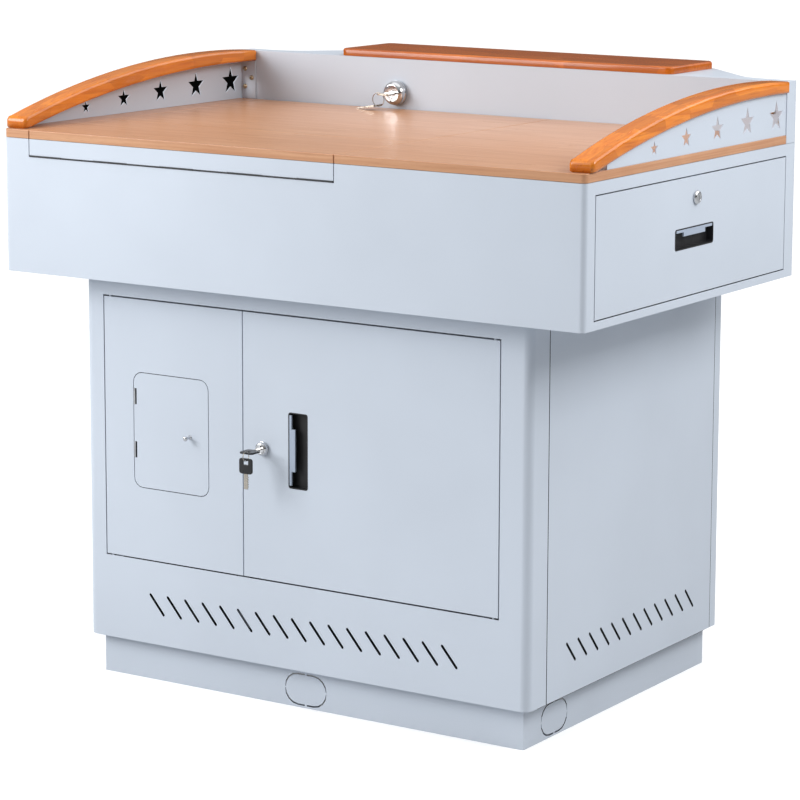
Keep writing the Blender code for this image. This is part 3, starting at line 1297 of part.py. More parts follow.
def build_drawer():
    body("drawer", (DRAWER_OUT, DRAWER_MID, SLIDE_Z), "root")
    body("slide_middle", (DRAWER_OUT, DRAWER_MID, SLIDE_Z), "root")
    front = block((SIDE - DRAWER_FRONT_T, DRAWER_Y0, DRAWER_Z0), (SIDE, DRAWER_Y1, DRAWER_Z1))
    pocket = block(
        (SIDE - DRAWER_FRONT_T - THROUGH, DRAWER_Y0 + SHEET, DRAWER_Z0 + SHEET),
        (SIDE - SHEET, DRAWER_Y1 - SHEET, DRAWER_Z1 - SHEET),
    )
    pull_z = DRAWER_Z0 + DRAWER_PULL_RISE + DRAWER_PULL_H / 2
    sideways = Matrix.Translation((SIDE, DRAWER_MID - 0.002, pull_z)) @ Matrix(
        ((0, 0, 1, 0), (1, 0, 0, 0), (0, 1, 0, 0), (0, 0, 0, 1))
    )
    mouth = pull_outline(DRAWER_PULL_W + 2 * GAP, DRAWER_PULL_H + 2 * GAP)
    pull_hole = moved(prism(mouth, "z", -THROUGH / 2, THROUGH), sideways)
    lock_y, lock_z = DRAWER_LOCK
    lock_hole = rod(
        (SIDE - THROUGH / 2, lock_y, lock_z), (SIDE + THROUGH, lock_y, lock_z), SMALL_BARREL_R + GAP, 24
    )
    piece("drawer_front", cut(front, pocket, pull_hole, lock_hole), STEEL, "drawer")
    piece("drawer_pull_cup", moved(pull_cup(DRAWER_PULL_W, DRAWER_PULL_H), sideways), BLACK, "drawer")
    piece("drawer_pull_lip", moved(pull_lip(DRAWER_PULL_W, DRAWER_PULL_H), sideways), GREY_LIP, "drawer")

    wall_gap = SLIDE_SPACE + GAP
    y0 = DRAWER_Y0 + wall_gap
    y1 = DRAWER_Y1 - wall_gap
    tray_z0 = DRAWER_Z0 + 0.006
    tray_z1 = Z_BOARD - DRAWER_TRAY_DROP
    tray = block((DRAWER_IN, y0, tray_z0), (DRAWER_OUT, y1, tray_z1))
    well = block(
        (DRAWER_IN + SHEET, y0 + SHEET, tray_z0 + SHEET), (DRAWER_OUT - SHEET, y1 - SHEET, tray_z1 + THROUGH)
    )
    lock_notch = block(
        (DRAWER_OUT - THROUGH, lock_y - LOCK_NOTCH_HALF, lock_z - LOCK_NOTCH_DROP),
        (DRAWER_OUT + THROUGH, lock_y + LOCK_NOTCH_HALF, tray_z1 + THROUGH),
    )
    piece("drawer_tray", cut(tray, well, lock_notch), STEEL, "drawer")

    place = (SIDE, lock_y, lock_z)
    barrel_end = DRAWER_FRONT_T + DRAWER_BARREL_BACK
    housing = lock_body(DRAWER_LOCK_R, DRAWER_LOCK_OUT, SMALL_BARREL_R, barrel_end, place, (1, 0, 0))
    piece("drawer_lock_body", housing, CHROME, "drawer")
    body("drawer_lock", place, "drawer")
    plug = lock_plug(DRAWER_LOCK_OUT, barrel_end + CAM_SET, DRAWER_CAM, place, (1, 0, 0), (0, 1, 0))
    piece("drawer_lock_plug", plug, CHROME, "drawer_lock")

    half = SLIDE_H / 2
    step = 0.004
    for end, start, sign in (("front", DRAWER_Y0, 1), ("rear", DRAWER_Y1, -1)):
        web = start - sign * GAP
        outer_reach = web + sign * 0.0100
        outer = prism(slide_profile(web, outer_reach, half, SLIDE_Z), "x", DRAWER_IN, SLIDE_OUT)
        foot_ys = sorted((web, web - sign * SHEET))
        stand = block(
            (DRAWER_IN, foot_ys[0], Z_DECK + SHEET + GAP), (SLIDE_OUT, foot_ys[1], SLIDE_Z + half)
        )
        outer = union(outer, stand)
        piece("slide_outer_" + end, outer, ZINC, "root")
        mid_web = web + sign * 0.0030
        mid_reach = web + sign * 0.0098
        middle = slide_profile(mid_web, mid_reach, half - step, SLIDE_Z)
        piece("slide_middle_" + end, prism(middle, "x", DRAWER_IN, SLIDE_OUT), ZINC, "slide_middle")
        inner_web = start + sign * SLIDE_SPACE
        inner_reach = web + sign * 0.0062
        inner = slide_profile(inner_web, inner_reach, half - 2 * step, SLIDE_Z)
        piece("slide_inner_" + end, prism(inner, "x", DRAWER_IN, SLIDE_OUT), ZINC, "drawer")


def main():
    for obj in list(bpy.data.objects):
        bpy.data.objects.remove(obj, do_unlink=True)
    BODIES.clear()
    body("root")
    build_plinth()
    build_cabinet()
    build_left_door()
    build_right_door()
    build_box()
    build_table_boards()
    build_flap()
    build_lid()
    build_rear_lock()
    build_armrests()
    build_drawer()


main()
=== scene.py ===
"""Looks of the steel lectern desk: powder-coated sheet, beech boards, varnished rails, locks and keys."""

import json
import math

import bmesh
import bpy
from mathutils import Matrix, Vector


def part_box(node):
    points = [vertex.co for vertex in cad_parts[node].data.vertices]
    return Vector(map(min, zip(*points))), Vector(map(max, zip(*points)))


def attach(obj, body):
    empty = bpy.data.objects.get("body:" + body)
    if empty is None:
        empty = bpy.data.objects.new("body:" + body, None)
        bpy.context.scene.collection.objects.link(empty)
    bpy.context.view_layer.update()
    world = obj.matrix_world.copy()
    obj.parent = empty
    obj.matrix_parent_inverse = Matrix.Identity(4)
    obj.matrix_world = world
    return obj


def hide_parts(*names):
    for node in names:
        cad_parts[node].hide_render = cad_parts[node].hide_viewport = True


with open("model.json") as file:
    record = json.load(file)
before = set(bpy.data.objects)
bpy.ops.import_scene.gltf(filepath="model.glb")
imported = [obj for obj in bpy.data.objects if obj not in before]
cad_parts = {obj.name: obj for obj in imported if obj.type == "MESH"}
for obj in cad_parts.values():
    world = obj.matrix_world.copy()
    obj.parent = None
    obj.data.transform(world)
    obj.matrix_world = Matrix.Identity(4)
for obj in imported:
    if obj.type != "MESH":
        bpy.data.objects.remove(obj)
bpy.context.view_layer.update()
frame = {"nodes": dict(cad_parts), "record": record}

# ---- sizes, in metres ----
SHEET_EASE = 0.0005
BOARD_EASE = 0.0010
FLANGE_EASE = 0.0006
PLATE_EASE = 0.0004
SMALL_EASE = 0.00025
REAR_LOCK_OUT = 0.0195
DOOR_LOCK_OUT = 0.009
DRAWER_LOCK_OUT = 0.0055
PLUG_R = 0.0061
CAM_BARREL_R = 0.0089
LARGE_LOCK_R = 0.015  # a lock with a wider face than this has its barrel in proportion
KEYWAY_HALF = (0.004, 0.0006, 0.0036)
KNOB_OUT = 0.015  # how far the hatch knob stands out
KEY_HEAD = 0.025
SCREW_R = 0.0045
SCREW_T = 0.0028
SHANK_R = 0.002
WIRE = 0.00035
SPIN_STEPS = 56
CARD_RISE = 0.001
KNUCKLE_DEPTH = 0.0026  # hinge knuckles below the flap's strip
SEAM_REACH = 0.003
SEAM_BACK = 0.0009  # a side panel's front edge is rolled back by this at the seam
SKIN = 0.0003  # depth that takes in a panel's outer face
CUT_WALL = 6e-5  # a slot's walls are all smaller than this area
CUT_EASE = 0.0002
CUT_BURR = 0.0006  # a slot's edges are dressed back by this
SCREEN_RIM = 0.008
SCREEN_GAP = 0.0006
SCREEN_T = 0.0008
SCREEN_CORNER = 0.004


# ---- meshes ----


def copied(node, whole=True):
    """A copy of a node's mesh, merged, with its flat faces whole unless it is full of holes."""
    bm = bmesh.new()
    bm.from_mesh(frame["nodes"][node].data)
    bmesh.ops.remove_doubles(bm, verts=bm.verts, dist=1e-6)
    if whole:
        bmesh.ops.dissolve_limit(bm, angle_limit=math.radians(0.4), verts=bm.verts, edges=bm.edges)
    return bm


def made(name, bm, finish, body, stands_for=(), ease=0.0, segments=2, corner=32, dark=None):
    """Turns a mesh into a finished piece that rides on its body; dark picks faces that are painted black as
    shade.
    """
    if dark:
        bm.normal_update()
        for face in bm.faces:
            if any(picks(face) for picks in dark):
                face.material_index = 1
    mesh = bpy.data.meshes.new(name)
    bm.to_mesh(mesh)
    bm.free()
    mesh.materials.append(finish)
    if dark:
        mesh.materials.append(BLACK_AND_SHADE)
    mesh.shade_smooth()
    obj = bpy.data.objects.new(name, mesh)
    bpy.context.scene.collection.objects.link(obj)
    if ease:
        bevel = obj.modifiers.new("ease", "BEVEL")
        bevel.width = ease
        bevel.segments = segments
        bevel.limit_method = "ANGLE"
        bevel.angle_limit = math.radians(corner)
        bevel.miter_outer = "MITER_ARC"
    else:
        mesh.set_sharp_from_angle(angle=math.radians(corner))
    weighted = obj.modifiers.new("shading", "WEIGHTED_NORMAL")
    weighted.weight = 80
    weighted.keep_sharp = True
    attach(obj, body)
    if stands_for:
        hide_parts(*stands_for)
    return obj


def closed_up(bm):
    bmesh.ops.remove_doubles(bm, verts=bm.verts, dist=1e-6)
    bmesh.ops.recalc_face_normals(bm, faces=bm.faces)
    return bm


def spun(profile, place, outward, steps=SPIN_STEPS, ring=False):
    """A turned solid from (radius, height) pairs; a ring's profile closes on itself."""
    bm = bmesh.new()
    verts = [bm.verts.new((radius, 0, height)) for radius, height in profile]
    edges = [bm.edges.new(pair) for pair in zip(verts, verts[1:])]
    if ring:
        edges.append(bm.edges.new((verts[-1], verts[0])))
    bmesh.ops.spin(
        bm,
        geom=verts + edges,
        cent=(0, 0, 0),
        axis=(0, 0, 1),
        angle=math.tau,
        steps=steps,
        use_merge=True,
    )
    turn = Vector(outward).to_track_quat("Z", "Y").to_matrix().to_4x4()
    bmesh.ops.transform(bm, matrix=Matrix.Translation(place) @ turn, verts=bm.verts)
    return closed_up(bm)


def bar(low, high):
    bm = bmesh.new()
    size = Vector(high) - Vector(low)
    middle = (Vector(high) + Vector(low)) / 2
    bmesh.ops.create_cube(bm, size=1, matrix=Matrix.Translation(middle) @ Matrix.Diagonal((*size, 1)))
    return bm


def joined(*shapes):
    bm = bmesh.new()
    for shape in shapes:
        mesh = bpy.data.meshes.new("joined")
        shape.to_mesh(mesh)
        shape.free()
        bm.from_mesh(mesh)
        bpy.data.meshes.remove(mesh)
    return bm


def carved(bm, tool):
    """The shape with the tool's space taken out."""
    objects = []
    for shape in (bm, tool):
        mesh = bpy.data.meshes.new("carving")
        shape.to_mesh(mesh)
        shape.free()
        objects.append(bpy.data.objects.new("carving", mesh))
        bpy.context.scene.collection.objects.link(objects[-1])
    body, cutter = objects
    change = body.modifiers.new("carving", "BOOLEAN")
    change.solver = "EXACT"
    change.operation = "DIFFERENCE"
    change.object = cutter
    result = bpy.data.meshes.new_from_object(body.evaluated_get(bpy.context.evaluated_depsgraph_get()))
    out = bmesh.new()
    out.from_mesh(result)
    for obj in objects:
        mesh = obj.data
        bpy.data.objects.remove(obj, do_unlink=True)
        bpy.data.meshes.remove(mesh)
    bpy.data.meshes.remove(result)
    return out


def kept_side(bm, point, normal):
    """The part of a solid behind a plane, closed again."""
    bmesh.ops.bisect_plane(
        bm,
        geom=bm.verts[:] + bm.edges[:] + bm.faces[:],
        dist=1e-7,
        plane_co=point,
        plane_no=normal,
        clear_outer=True,
    )
    bmesh.ops.holes_fill(bm, edges=[e for e in bm.edges if e.is_boundary], sides=0)
    return closed_up(bm)


# ---- finishes ----


class Finish:
    """A node material with its shader, and short ways to add to it."""

    def __init__(self, name, roughness, metallic=0.0, coat=0.0, coat_roughness=0.1, specular=0.5):
        self.material = bpy.data.materials.new(name)
        self.material.use_nodes = True
        self.nodes = self.material.node_tree.nodes
        self.links = self.material.node_tree.links
        self.shader = self.nodes["Principled BSDF"]
        self.shader.inputs["Roughness"].default_value = roughness
        self.shader.inputs["Metallic"].default_value = metallic
        self.shader.inputs["Coat Weight"].default_value = coat
        self.shader.inputs["Coat Roughness"].default_value = coat_roughness
        self.shader.inputs["Specular IOR Level"].default_value = specular
        self.coordinates = self.nodes.new("ShaderNodeTexCoord")

    def place(self, scale=(1, 1, 1), turn=(0, 0, 0), shift=(0, 0, 0)):
        mapping = self.nodes.new("ShaderNodeMapping")
        mapping.inputs["Scale"].default_value = scale
        mapping.inputs["Rotation"].default_value = turn
        mapping.inputs["Location"].default_value = shift
        self.links.new(self.coordinates.outputs["Object"], mapping.inputs["Vector"])
        return mapping.outputs["Vector"]

    def noise(self, place, scale, detail=2.0, roughness=0.5, distortion=0.0):
        node = self.nodes.new("ShaderNodeTexNoise")
        node.inputs["Scale"].default_value = scale
        node.inputs["Detail"].default_value = detail
        node.inputs["Roughness"].default_value = roughness
        node.inputs["Distortion"].default_value = distortion
        self.links.new(place, node.inputs["Vector"])
        return node.outputs["Fac"]

    def cells(self, place, scale, randomness=1.0):
        node = self.nodes.new("ShaderNodeTexVoronoi")
        node.inputs["Scale"].default_value = scale
        node.inputs["Randomness"].default_value = randomness
        self.links.new(place, node.inputs["Vector"])
        return node.outputs

    def spread(self, value, low, high, out_low=0.0, out_high=1.0):
        node = self.nodes.new("ShaderNodeMapRange")
        node.inputs["From Min"].default_value = low
        node.inputs["From Max"].default_value = high
        node.inputs["To Min"].default_value = out_low
        node.inputs["To Max"].default_value = out_high
        self.links.new(value, node.inputs["Value"])
        return node.outputs["Result"]

    def tone(self, value, first, second, low=0.35, high=0.65):
        node = self.nodes.new("ShaderNodeValToRGB")
        node.color_ramp.elements[0].position = low
        node.color_ramp.elements[0].color = (*first, 1)
        node.color_ramp.elements[1].position = high
        node.color_ramp.elements[1].color = (*second, 1)
        self.links.new(value, node.inputs["Fac"])
        return node.outputs["Color"]

    def mixed(self, share, first, second, blend="MIX"):
        node = self.nodes.new("ShaderNodeMix")
        node.data_type = "RGBA"
        node.blend_type = blend
        if isinstance(share, float):
            node.inputs[0].default_value = share
        else:
            self.links.new(share, node.inputs[0])
        for socket, value in ((node.inputs[6], first), (node.inputs[7], second)):
            if isinstance(value, tuple):
                socket.default_value = (*value, 1)
            else:
                self.links.new(value, socket)
        return node.outputs[2]

    def colour(self, socket):
        self.links.new(socket, self.shader.inputs["Base Color"])

    def dull(self, socket):
        self.links.new(socket, self.shader.inputs["Roughness"])

    def bump(self, height, strength, distance):
        node = self.nodes.new("ShaderNodeBump")
        node.inputs["Strength"].default_value = strength
        node.inputs["Distance"].default_value = distance
        previous = self.shader.inputs["Normal"].links
        if previous:
            self.links.new(previous[0].from_socket, node.inputs["Normal"])
        self.links.new(height, node.inputs["Height"])
        self.links.new(node.outputs["Normal"], self.shader.inputs["Normal"])


def powder_coat(name, base, roughness=0.40, peel=620.0, specular=0.5):
    """Baked powder coat: slow unevenness in tone, fine orange peel, a little uneven gloss."""
    f = Finish(name, roughness, specular=specular)
    place = f.place()
    darker = tuple(c * 0.965 for c in base)
    lighter = tuple(min(1.0, c * 1.03) for c in base)
    slow = f.tone(f.noise(place, 2.2, 3.0, 0.55), darker, lighter)
    speck = f.spread(f.noise(place, 1400.0, 1.0), 0.62, 0.75)
    f.colour(f.mixed(f.spread(speck, 0.0, 1.0, 0.0, 0.10), slow, tuple(c * 0.7 for c in base)))
    f.dull(f.spread(f.noise(place, 14.0, 4.0, 0.6), 0.3, 0.7, roughness - 0.05, roughness + 0.06))
    f.bump(f.noise(place, peel, 2.0, 0.45), 0.10, 0.0005)
    f.bump(f.noise(place, 5.0, 2.0), 0.06, 0.004)
    return f.material


def beech(name, light, dark, gloss=0.30):
    """Beech-faced board with fine grain along X; its ends are banded, with grain along Y."""
    f = Finish(name, gloss, specular=0.45)
    across = f.place((5.0, 170.0, 170.0))
    end = f.place((170.0, 5.0, 420.0))
    normal = f.nodes.new("ShaderNodeSeparateXYZ")
    f.links.new(f.coordinates.outputs["Normal"], normal.inputs["Vector"])
    side = f.nodes.new("ShaderNodeMath")
    side.operation = "ABSOLUTE"
    f.links.new(normal.outputs["X"], side.inputs[0])
    on_end = f.spread(side.outputs["Value"], 0.6, 0.75)
    choice = f.nodes.new("ShaderNodeMix")
    choice.data_type = "VECTOR"
    f.links.new(on_end, choice.inputs[0])
    f.links.new(across, choice.inputs[4])
    f.links.new(end, choice.inputs[5])
    along = choice.outputs[1]
    grain = f.noise(along, 1.0, 5.0, 0.6, 0.4)
    broad = f.noise(f.place((1.1, 9.0, 9.0)), 1.6, 3.0, 0.5, 1.2)
    flecks = f.spread(f.noise(f.place((45.0, 620.0, 620.0)), 1.0, 1.0), 0.63, 0.74)
    board = f.tone(grain, dark, light, 0.30, 0.68)
    warmed = f.mixed(f.spread(broad, 0.35, 0.65, 0.0, 0.30), board, tuple(c * 0.93 for c in dark))
    f.colour(f.mixed(f.spread(flecks, 0.0, 1.0, 0.0, 0.22), warmed, tuple(c * 0.62 for c in dark)))
    f.dull(f.spread(grain, 0.3, 0.7, gloss + 0.04, gloss - 0.03))
    f.bump(grain, 0.05, 0.0003)
    return f.material


def varnished(name, light, dark, grain_scale, block_scale, gloss=0.22):
    """Laminated hardwood under clear gloss varnish; blocks of slightly different tone."""
    f = Finish(name, gloss, coat=0.35, coat_roughness=0.06, specular=0.25)
    grain = f.noise(f.place(grain_scale), 1.0, 5.0, 0.62, 0.8)
    wood = f.tone(grain, dark, light, 0.28, 0.70)
    block = f.cells(f.place(block_scale), 1.0, 0.35)
    grey = f.nodes.new("ShaderNodeRGBToBW")
    f.links.new(block["Color"], grey.inputs["Color"])
    shaded = f.mixed(f.spread(grey.outputs["Val"], 0.2, 0.8, 0.0, 0.45), wood, tuple(c * 0.62 for c in dark))
    streak = f.spread(f.noise(f.place(tuple(s * 2.4 for s in grain_scale)), 1.0, 2.0), 0.58, 0.72)
    f.colour(f.mixed(f.spread(streak, 0.0, 1.0, 0.0, 0.40), shaded, tuple(c * 0.45 for c in dark)))
    f.dull(f.spread(grain, 0.3, 0.7, gloss + 0.06, gloss - 0.04))
    f.bump(f.noise(f.place(), 38.0, 2.0), 0.03, 0.001)
    return f.material


def polished(name, base, roughness, scratch=900.0, depth=0.04):
    """Plated metal with fine polishing marks and faint smears."""
    f = Finish(name, roughness, metallic=1.0)
    place = f.place()
    f.colour(f.tone(f.noise(place, 60.0, 3.0), tuple(c * 0.90 for c in base), base))
    f.dull(f.spread(f.noise(place, 110.0, 4.0, 0.6), 0.3, 0.7, roughness * 0.7, roughness * 1.5))
    f.bump(f.noise(f.place((scratch, scratch * 0.06, scratch)), 1.0, 2.0), depth, 0.0001)
    return f.material


def zinc(name, base, roughness=0.34):
    """Passivated zinc plate with a faint crystal pattern and rolling marks."""
    f = Finish(name, roughness, metallic=0.95)
    place = f.place()
    grey = f.nodes.new("ShaderNodeRGBToBW")
    f.links.new(f.cells(place, 130.0)["Color"], grey.inputs["Color"])
    f.colour(f.tone(grey.outputs["Val"], tuple(c * 0.84 for c in base), base, 0.1, 0.9))
    f.dull(f.spread(f.noise(place, 40.0, 4.0, 0.6), 0.3, 0.7, roughness - 0.06, roughness + 0.10))
    f.bump(f.noise(f.place((40.0, 900.0, 900.0)), 1.0, 2.0), 0.05, 0.0001)
    return f.material


def moulded(name, base, roughness, grain=1500.0, specular=0.4):
    """Moulded plastic or matt coat with a fine eroded texture."""
    f = Finish(name, roughness, specular=specular)
    place = f.place()
    f.colour(f.tone(f.noise(place, 30.0, 3.0), tuple(c * 0.8 for c in base), tuple(c * 1.25 for c in base)))
    f.dull(f.spread(f.noise(place, 70.0, 3.0, 0.6), 0.3, 0.7, roughness - 0.06, roughness + 0.08))
    f.bump(f.noise(place, grain, 2.0), 0.12, 0.0002)
    return f.material


def pale_floor(name):
    """A pale floor that bounces less light than it shows, as a floor far below the lamps does."""
    f = Finish(name, 0.9, specular=0.05)
    place = f.place()
    shown = f.tone(f.noise(place, 0.8, 3.0), (0.955, 0.96, 0.965), (0.97, 0.972, 0.975))
    seen = f.nodes.new("ShaderNodeLightPath")
    f.colour(f.mixed(seen.outputs["Is Camera Ray"], (0.42, 0.43, 0.44), shown))
    f.shader.inputs["Emission Color"].default_value = (1, 1, 1, 1)
    f.shader.inputs["Emission Strength"].default_value = 0.10
    f.bump(f.noise(place, 60.0, 2.0), 0.02, 0.001)
    return f.material


STEEL = powder_coat("steel_grey_blue_powder_coat", (0.545, 0.600, 0.680))
BEECH = beech("beech_faced_board", (0.610, 0.335, 0.190), (0.465, 0.215, 0.105))
RAIL = varnished(
    "varnished_rail_wood", (0.82, 0.265, 0.020), (0.62, 0.150, 0.010), (95.0, 5.5, 95.0), (40, 13, 60)
)
CAP = varnished(
    "varnished_cap_wood", (0.60, 0.155, 0.012), (0.44, 0.085, 0.006), (5.5, 95.0, 95.0), (6, 22, 60)
)
CHROME = polished("chrome_plate", (0.66, 0.67, 0.69), 0.10)
NICKEL = polished("nickelled_brass", (0.50, 0.46, 0.40), 0.24, 1400.0, 0.08)
SCREWS = polished("screw_brass", (0.52, 0.42, 0.28), 0.28, 1200.0, 0.08)
ZINC = zinc("zinc_plated_steel", (0.62, 0.63, 0.64))
# The matt black of the real black parts, also painted on as shade in seams, slot walls and gaps, and on the
# sheets behind the louvres.
BLACK_AND_SHADE = moulded("matt_black_coat_and_painted_shade", (0.012, 0.012, 0.014), 0.50, 1100.0)
KEY_BLACK = moulded("black_key_plastic", (0.015, 0.015, 0.017), 0.32)
LIP = powder_coat("grey_lip_coat", (0.36, 0.42, 0.52), 0.36, 800.0)
FLOOR = pale_floor("pale_floor")
CARD_BLACK = moulded("black_card", (0.002, 0.002, 0.002), 1.0, specular=0.0)

BY_SLOT = {
    "painted_steel": STEEL,
    "beech_board": BEECH,
    "varnished_wood": RAIL,
    "chrome": CHROME,
    "zinc_steel": ZINC,
    "black_sheet": BLACK_AND_SHADE,
    "grey_lip": LIP,
    "black_key": KEY_BLACK,
    "key_brass": NICKEL,
}


# ---- pieces carried over from the frame ----

slot_of = {part["node"]: part["material_slot"] for part in frame["record"]["subparts"]}
body_of = {node: body for body, nodes in frame["record"]["behaviour"]["bodies"].items() for node in nodes}

for node, obj in frame["nodes"].items():
    obj.data.materials.clear()
    obj.data.materials.append(BY_SLOT[slot_of[node]])

EASED = {
    SHEET_EASE: (
        "plinth cabinet_front_frame cabinet_side_right cabinet_side_left cabinet_rear_panel box_shell"
        " rear_bay_shell rear_hood left_door hatch_door right_door drawer_front keyboard_tray"
    ),
    FLANGE_EASE: "cheek_right cheek_left",
    BOARD_EASE: "tabletop_right tabletop_left keyboard_flap monitor_lid",
    PLATE_EASE: "door_pull_cup drawer_pull_cup door_pull_lip drawer_pull_lip lid_frame drawer_tray",
    SMALL_EASE: "flap_front_strip lid_pivot_left lid_pivot_right door_lock_plug rear_lock_plug",
}

PIERCED = "plinth cabinet_front_frame cabinet_side_right cabinet_side_left cabinet_rear_panel".split()
OPENED = PIERCED + ["box_shell"]  # sheets with holes keep the faces that they come with
side_low, side_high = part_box("cabinet_side_right")
strip_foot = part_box("flap_front_strip")[0].z + KNUCKLE_DEPTH


def in_seam(face):
    """Faces that line the narrow seams between the cabinet's panels; they are painted black as the shade
    inside the seams.
    """
    place = face.calc_center_median_weighted().y
    beside = min(abs(place - side_low.y), abs(place - side_high.y)) < SEAM_REACH
    return beside and abs(face.normal.y) > 0.9


# The hinge knuckles under the flap's strip, painted black as the shadowed gap beneath the strip.
def in_knuckle_gap_shade(face):
    return face.calc_center_median_weighted().z < strip_foot


def in_cut(axis):
    """Picks the narrow walls of the slots cut through a panel that faces along an axis; on the cabinet's
    panels they are painted black as the shade inside the slots.
    """

    def wall(face):
        return face.calc_area() < CUT_WALL and abs(face.normal[axis]) < 0.3

    return wall


# The walls of the plinth's knock-outs, painted black as the shade inside them.
def in_knock_out(face):
    return face.calc_area() < CUT_WALL and abs(face.normal.z) > 0.3


def dressed(bm, picks, back):
    """Moves the walls of a panel's cuts back a little, as filed and painted edges are."""
    bm.normal_update()
    moves = {}
    for face in bm.faces:
        if picks(face):
            for vert in face.verts:
                moves[vert] = moves.get(vert, Vector()) + face.normal
    for vert, direction in moves.items():
        vert.co -= direction.normalized() * back
    return bm


def fitted_side(bm, sign):
    """Brings a side panel's face level with the front frame and opens the seam in front of it."""
    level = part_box("cabinet_front_frame")[1].x
    for vert in bm.verts:
        if sign * vert.co.x > side_high.x - SKIN:
            vert.co.x = sign * level
        if vert.co.y < side_low.y + SKIN:
            vert.co.y += SEAM_BACK
    return bm


# Faces painted black as shade: inside the seams, on the slots' walls, in the knock-outs and on the knuckles
# under the flap's strip.
PAINTED_SHADE_FACES = {
    "flap_front_strip": (in_knuckle_gap_shade,),
    "plinth": (in_knock_out,),
    "cabinet_front_frame": (in_seam, in_cut(1)),
    "cabinet_side_right": (in_seam, in_cut(0)),
    "cabinet_side_left": (in_seam, in_cut(0)),
    "cabinet_rear_panel": (in_seam, in_cut(1)),
}

for ease, names in EASED.items():
    for node in names.split():
        slot = slot_of[node]
        shape = copied(node, node not in OPENED)
        if node in PIERCED:
            ease = CUT_EASE
            shape = dressed(shape, PAINTED_SHADE_FACES[node][-1], CUT_BURR)
        if node.startswith("cabinet_side"):
            shape = fitted_side(shape, 1 if node.endswith("right") else -1)
        made(
            node + "_finished", shape, BY_SLOT[slot], body_of[node], (node,), ease, dark=PAINTED_SHADE_FACES.get(node)
        )

# ---- black sheets behind the side louvres, painted shade that darkens the slots ----

for side, sign in (("right", 1), ("left", -1)):
    panel = copied("cabinet_side_" + side, False)
    panel.normal_update()
    rims = [vert.co.copy() for face in panel.faces if in_cut(0)(face) for vert in face.verts]
    panel.free()
    low_y, high_y = min(v.y for v in rims) - SCREEN_RIM, max(v.y for v in rims) + SCREEN_RIM
    low_z, high_z = min(v.z for v in rims) - SCREEN_RIM, max(v.z for v in rims) + SCREEN_RIM
    inner = min(abs(v.x) for v in rims) - SCREEN_GAP
    ends = sorted((sign * inner, sign * (inner - SCREEN_T)))
    sheet = bar((ends[0], low_y, low_z), (ends[1], high_y, high_z))
    bmesh.ops.bevel(
        sheet,
        geom=[e for e in sheet.edges if abs(e.verts[0].co.x - e.verts[1].co.x) > SCREEN_T / 2],
        offset=SCREEN_CORNER,
        offset_type="OFFSET",
        affect="EDGES",
        segments=5,
        profile=0.5,
        material=-1,
    )
    made("painted_shade_sheet_" + side, sheet, BLACK_AND_SHADE, "root", ease=0.0001)


for node, finish in (("armrest_right", RAIL), ("armrest_left", RAIL), ("cap_board", CAP)):
    made(node + "_finished", copied(node), finish, "root", (node,), corner=50)


# ---- locks ----


def lock_profile(face_r, out, bore, barrel_r, inner):
    """A lock's housing with a rolled rim, a ring groove and a dished middle."""
    shoulder = out * 0.45
    return [
        (bore, inner),
        (barrel_r, inner),
        (barrel_r, 0.0003),
        (face_r * 0.96, 0.0003),
        (face_r, 0.0003 + face_r * 0.05),
        (face_r, shoulder * 0.80),
        (face_r * 0.965, shoulder * 0.86),
        (face_r * 0.965, shoulder * 0.94),
        (face_r * 0.985, shoulder),
        (face_r * 0.955, out * 0.60),
        (face_r * 0.90, out * 0.77),
        (face_r * 0.82, out * 0.90),
        (face_r * 0.72, out * 0.985),
        (face_r * 0.66, out),
        (bore + (face_r * 0.66 - bore) * 0.45, out),
        (bore + (face_r * 0.66 - bore) * 0.35, out * 0.95),
        (bore, out * 0.95),
    ]


def lock_housing(node, outward, out, body):
    """Replaces a lock's housing, at the same face, size and depth."""
    low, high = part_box(node)
    direction = Vector(outward)
    axis = max(range(3), key=lambda i: abs(direction[i]))
    face = high[axis] if direction[axis] > 0 else low[axis]
    back = low[axis] if direction[axis] > 0 else high[axis]
    place = (low + high) / 2
    place[axis] = face - direction[axis] * out
    others = [high[i] - low[i] for i in range(3) if i != axis]
    face_r = min(others) / 2
    inner = -abs(back - place[axis])
    barrel_r = face_r * 0.62 if face_r > LARGE_LOCK_R else CAM_BARREL_R
    profile = lock_profile(face_r, out, PLUG_R, barrel_r, inner)
    turned = spun(profile, place, outward, ring=True)
    made(node + "_turned", turned, CHROME, body, (node,), corner=40)
    return place


lock_housing("rear_lock_body", (0, -1, 0), REAR_LOCK_OUT, "root")
lock_housing("door_lock_body", (0, -1, 0), DOOR_LOCK_OUT, "right_door")
drawer_lock = lock_housing("drawer_lock_body", (1, 0, 0), DRAWER_LOCK_OUT, "drawer")

plug_face = drawer_lock + Vector((DRAWER_LOCK_OUT, 0, 0))
keyway = bar(plug_face - Vector(KEYWAY_HALF), plug_face + Vector(KEYWAY_HALF))
plug = carved(copied("drawer_lock_plug"), keyway)
made("drawer_lock_plug_slotted", plug, CHROME, "drawer_lock", ("drawer_lock_plug",), 0.00012)


# ---- hatch knob ----

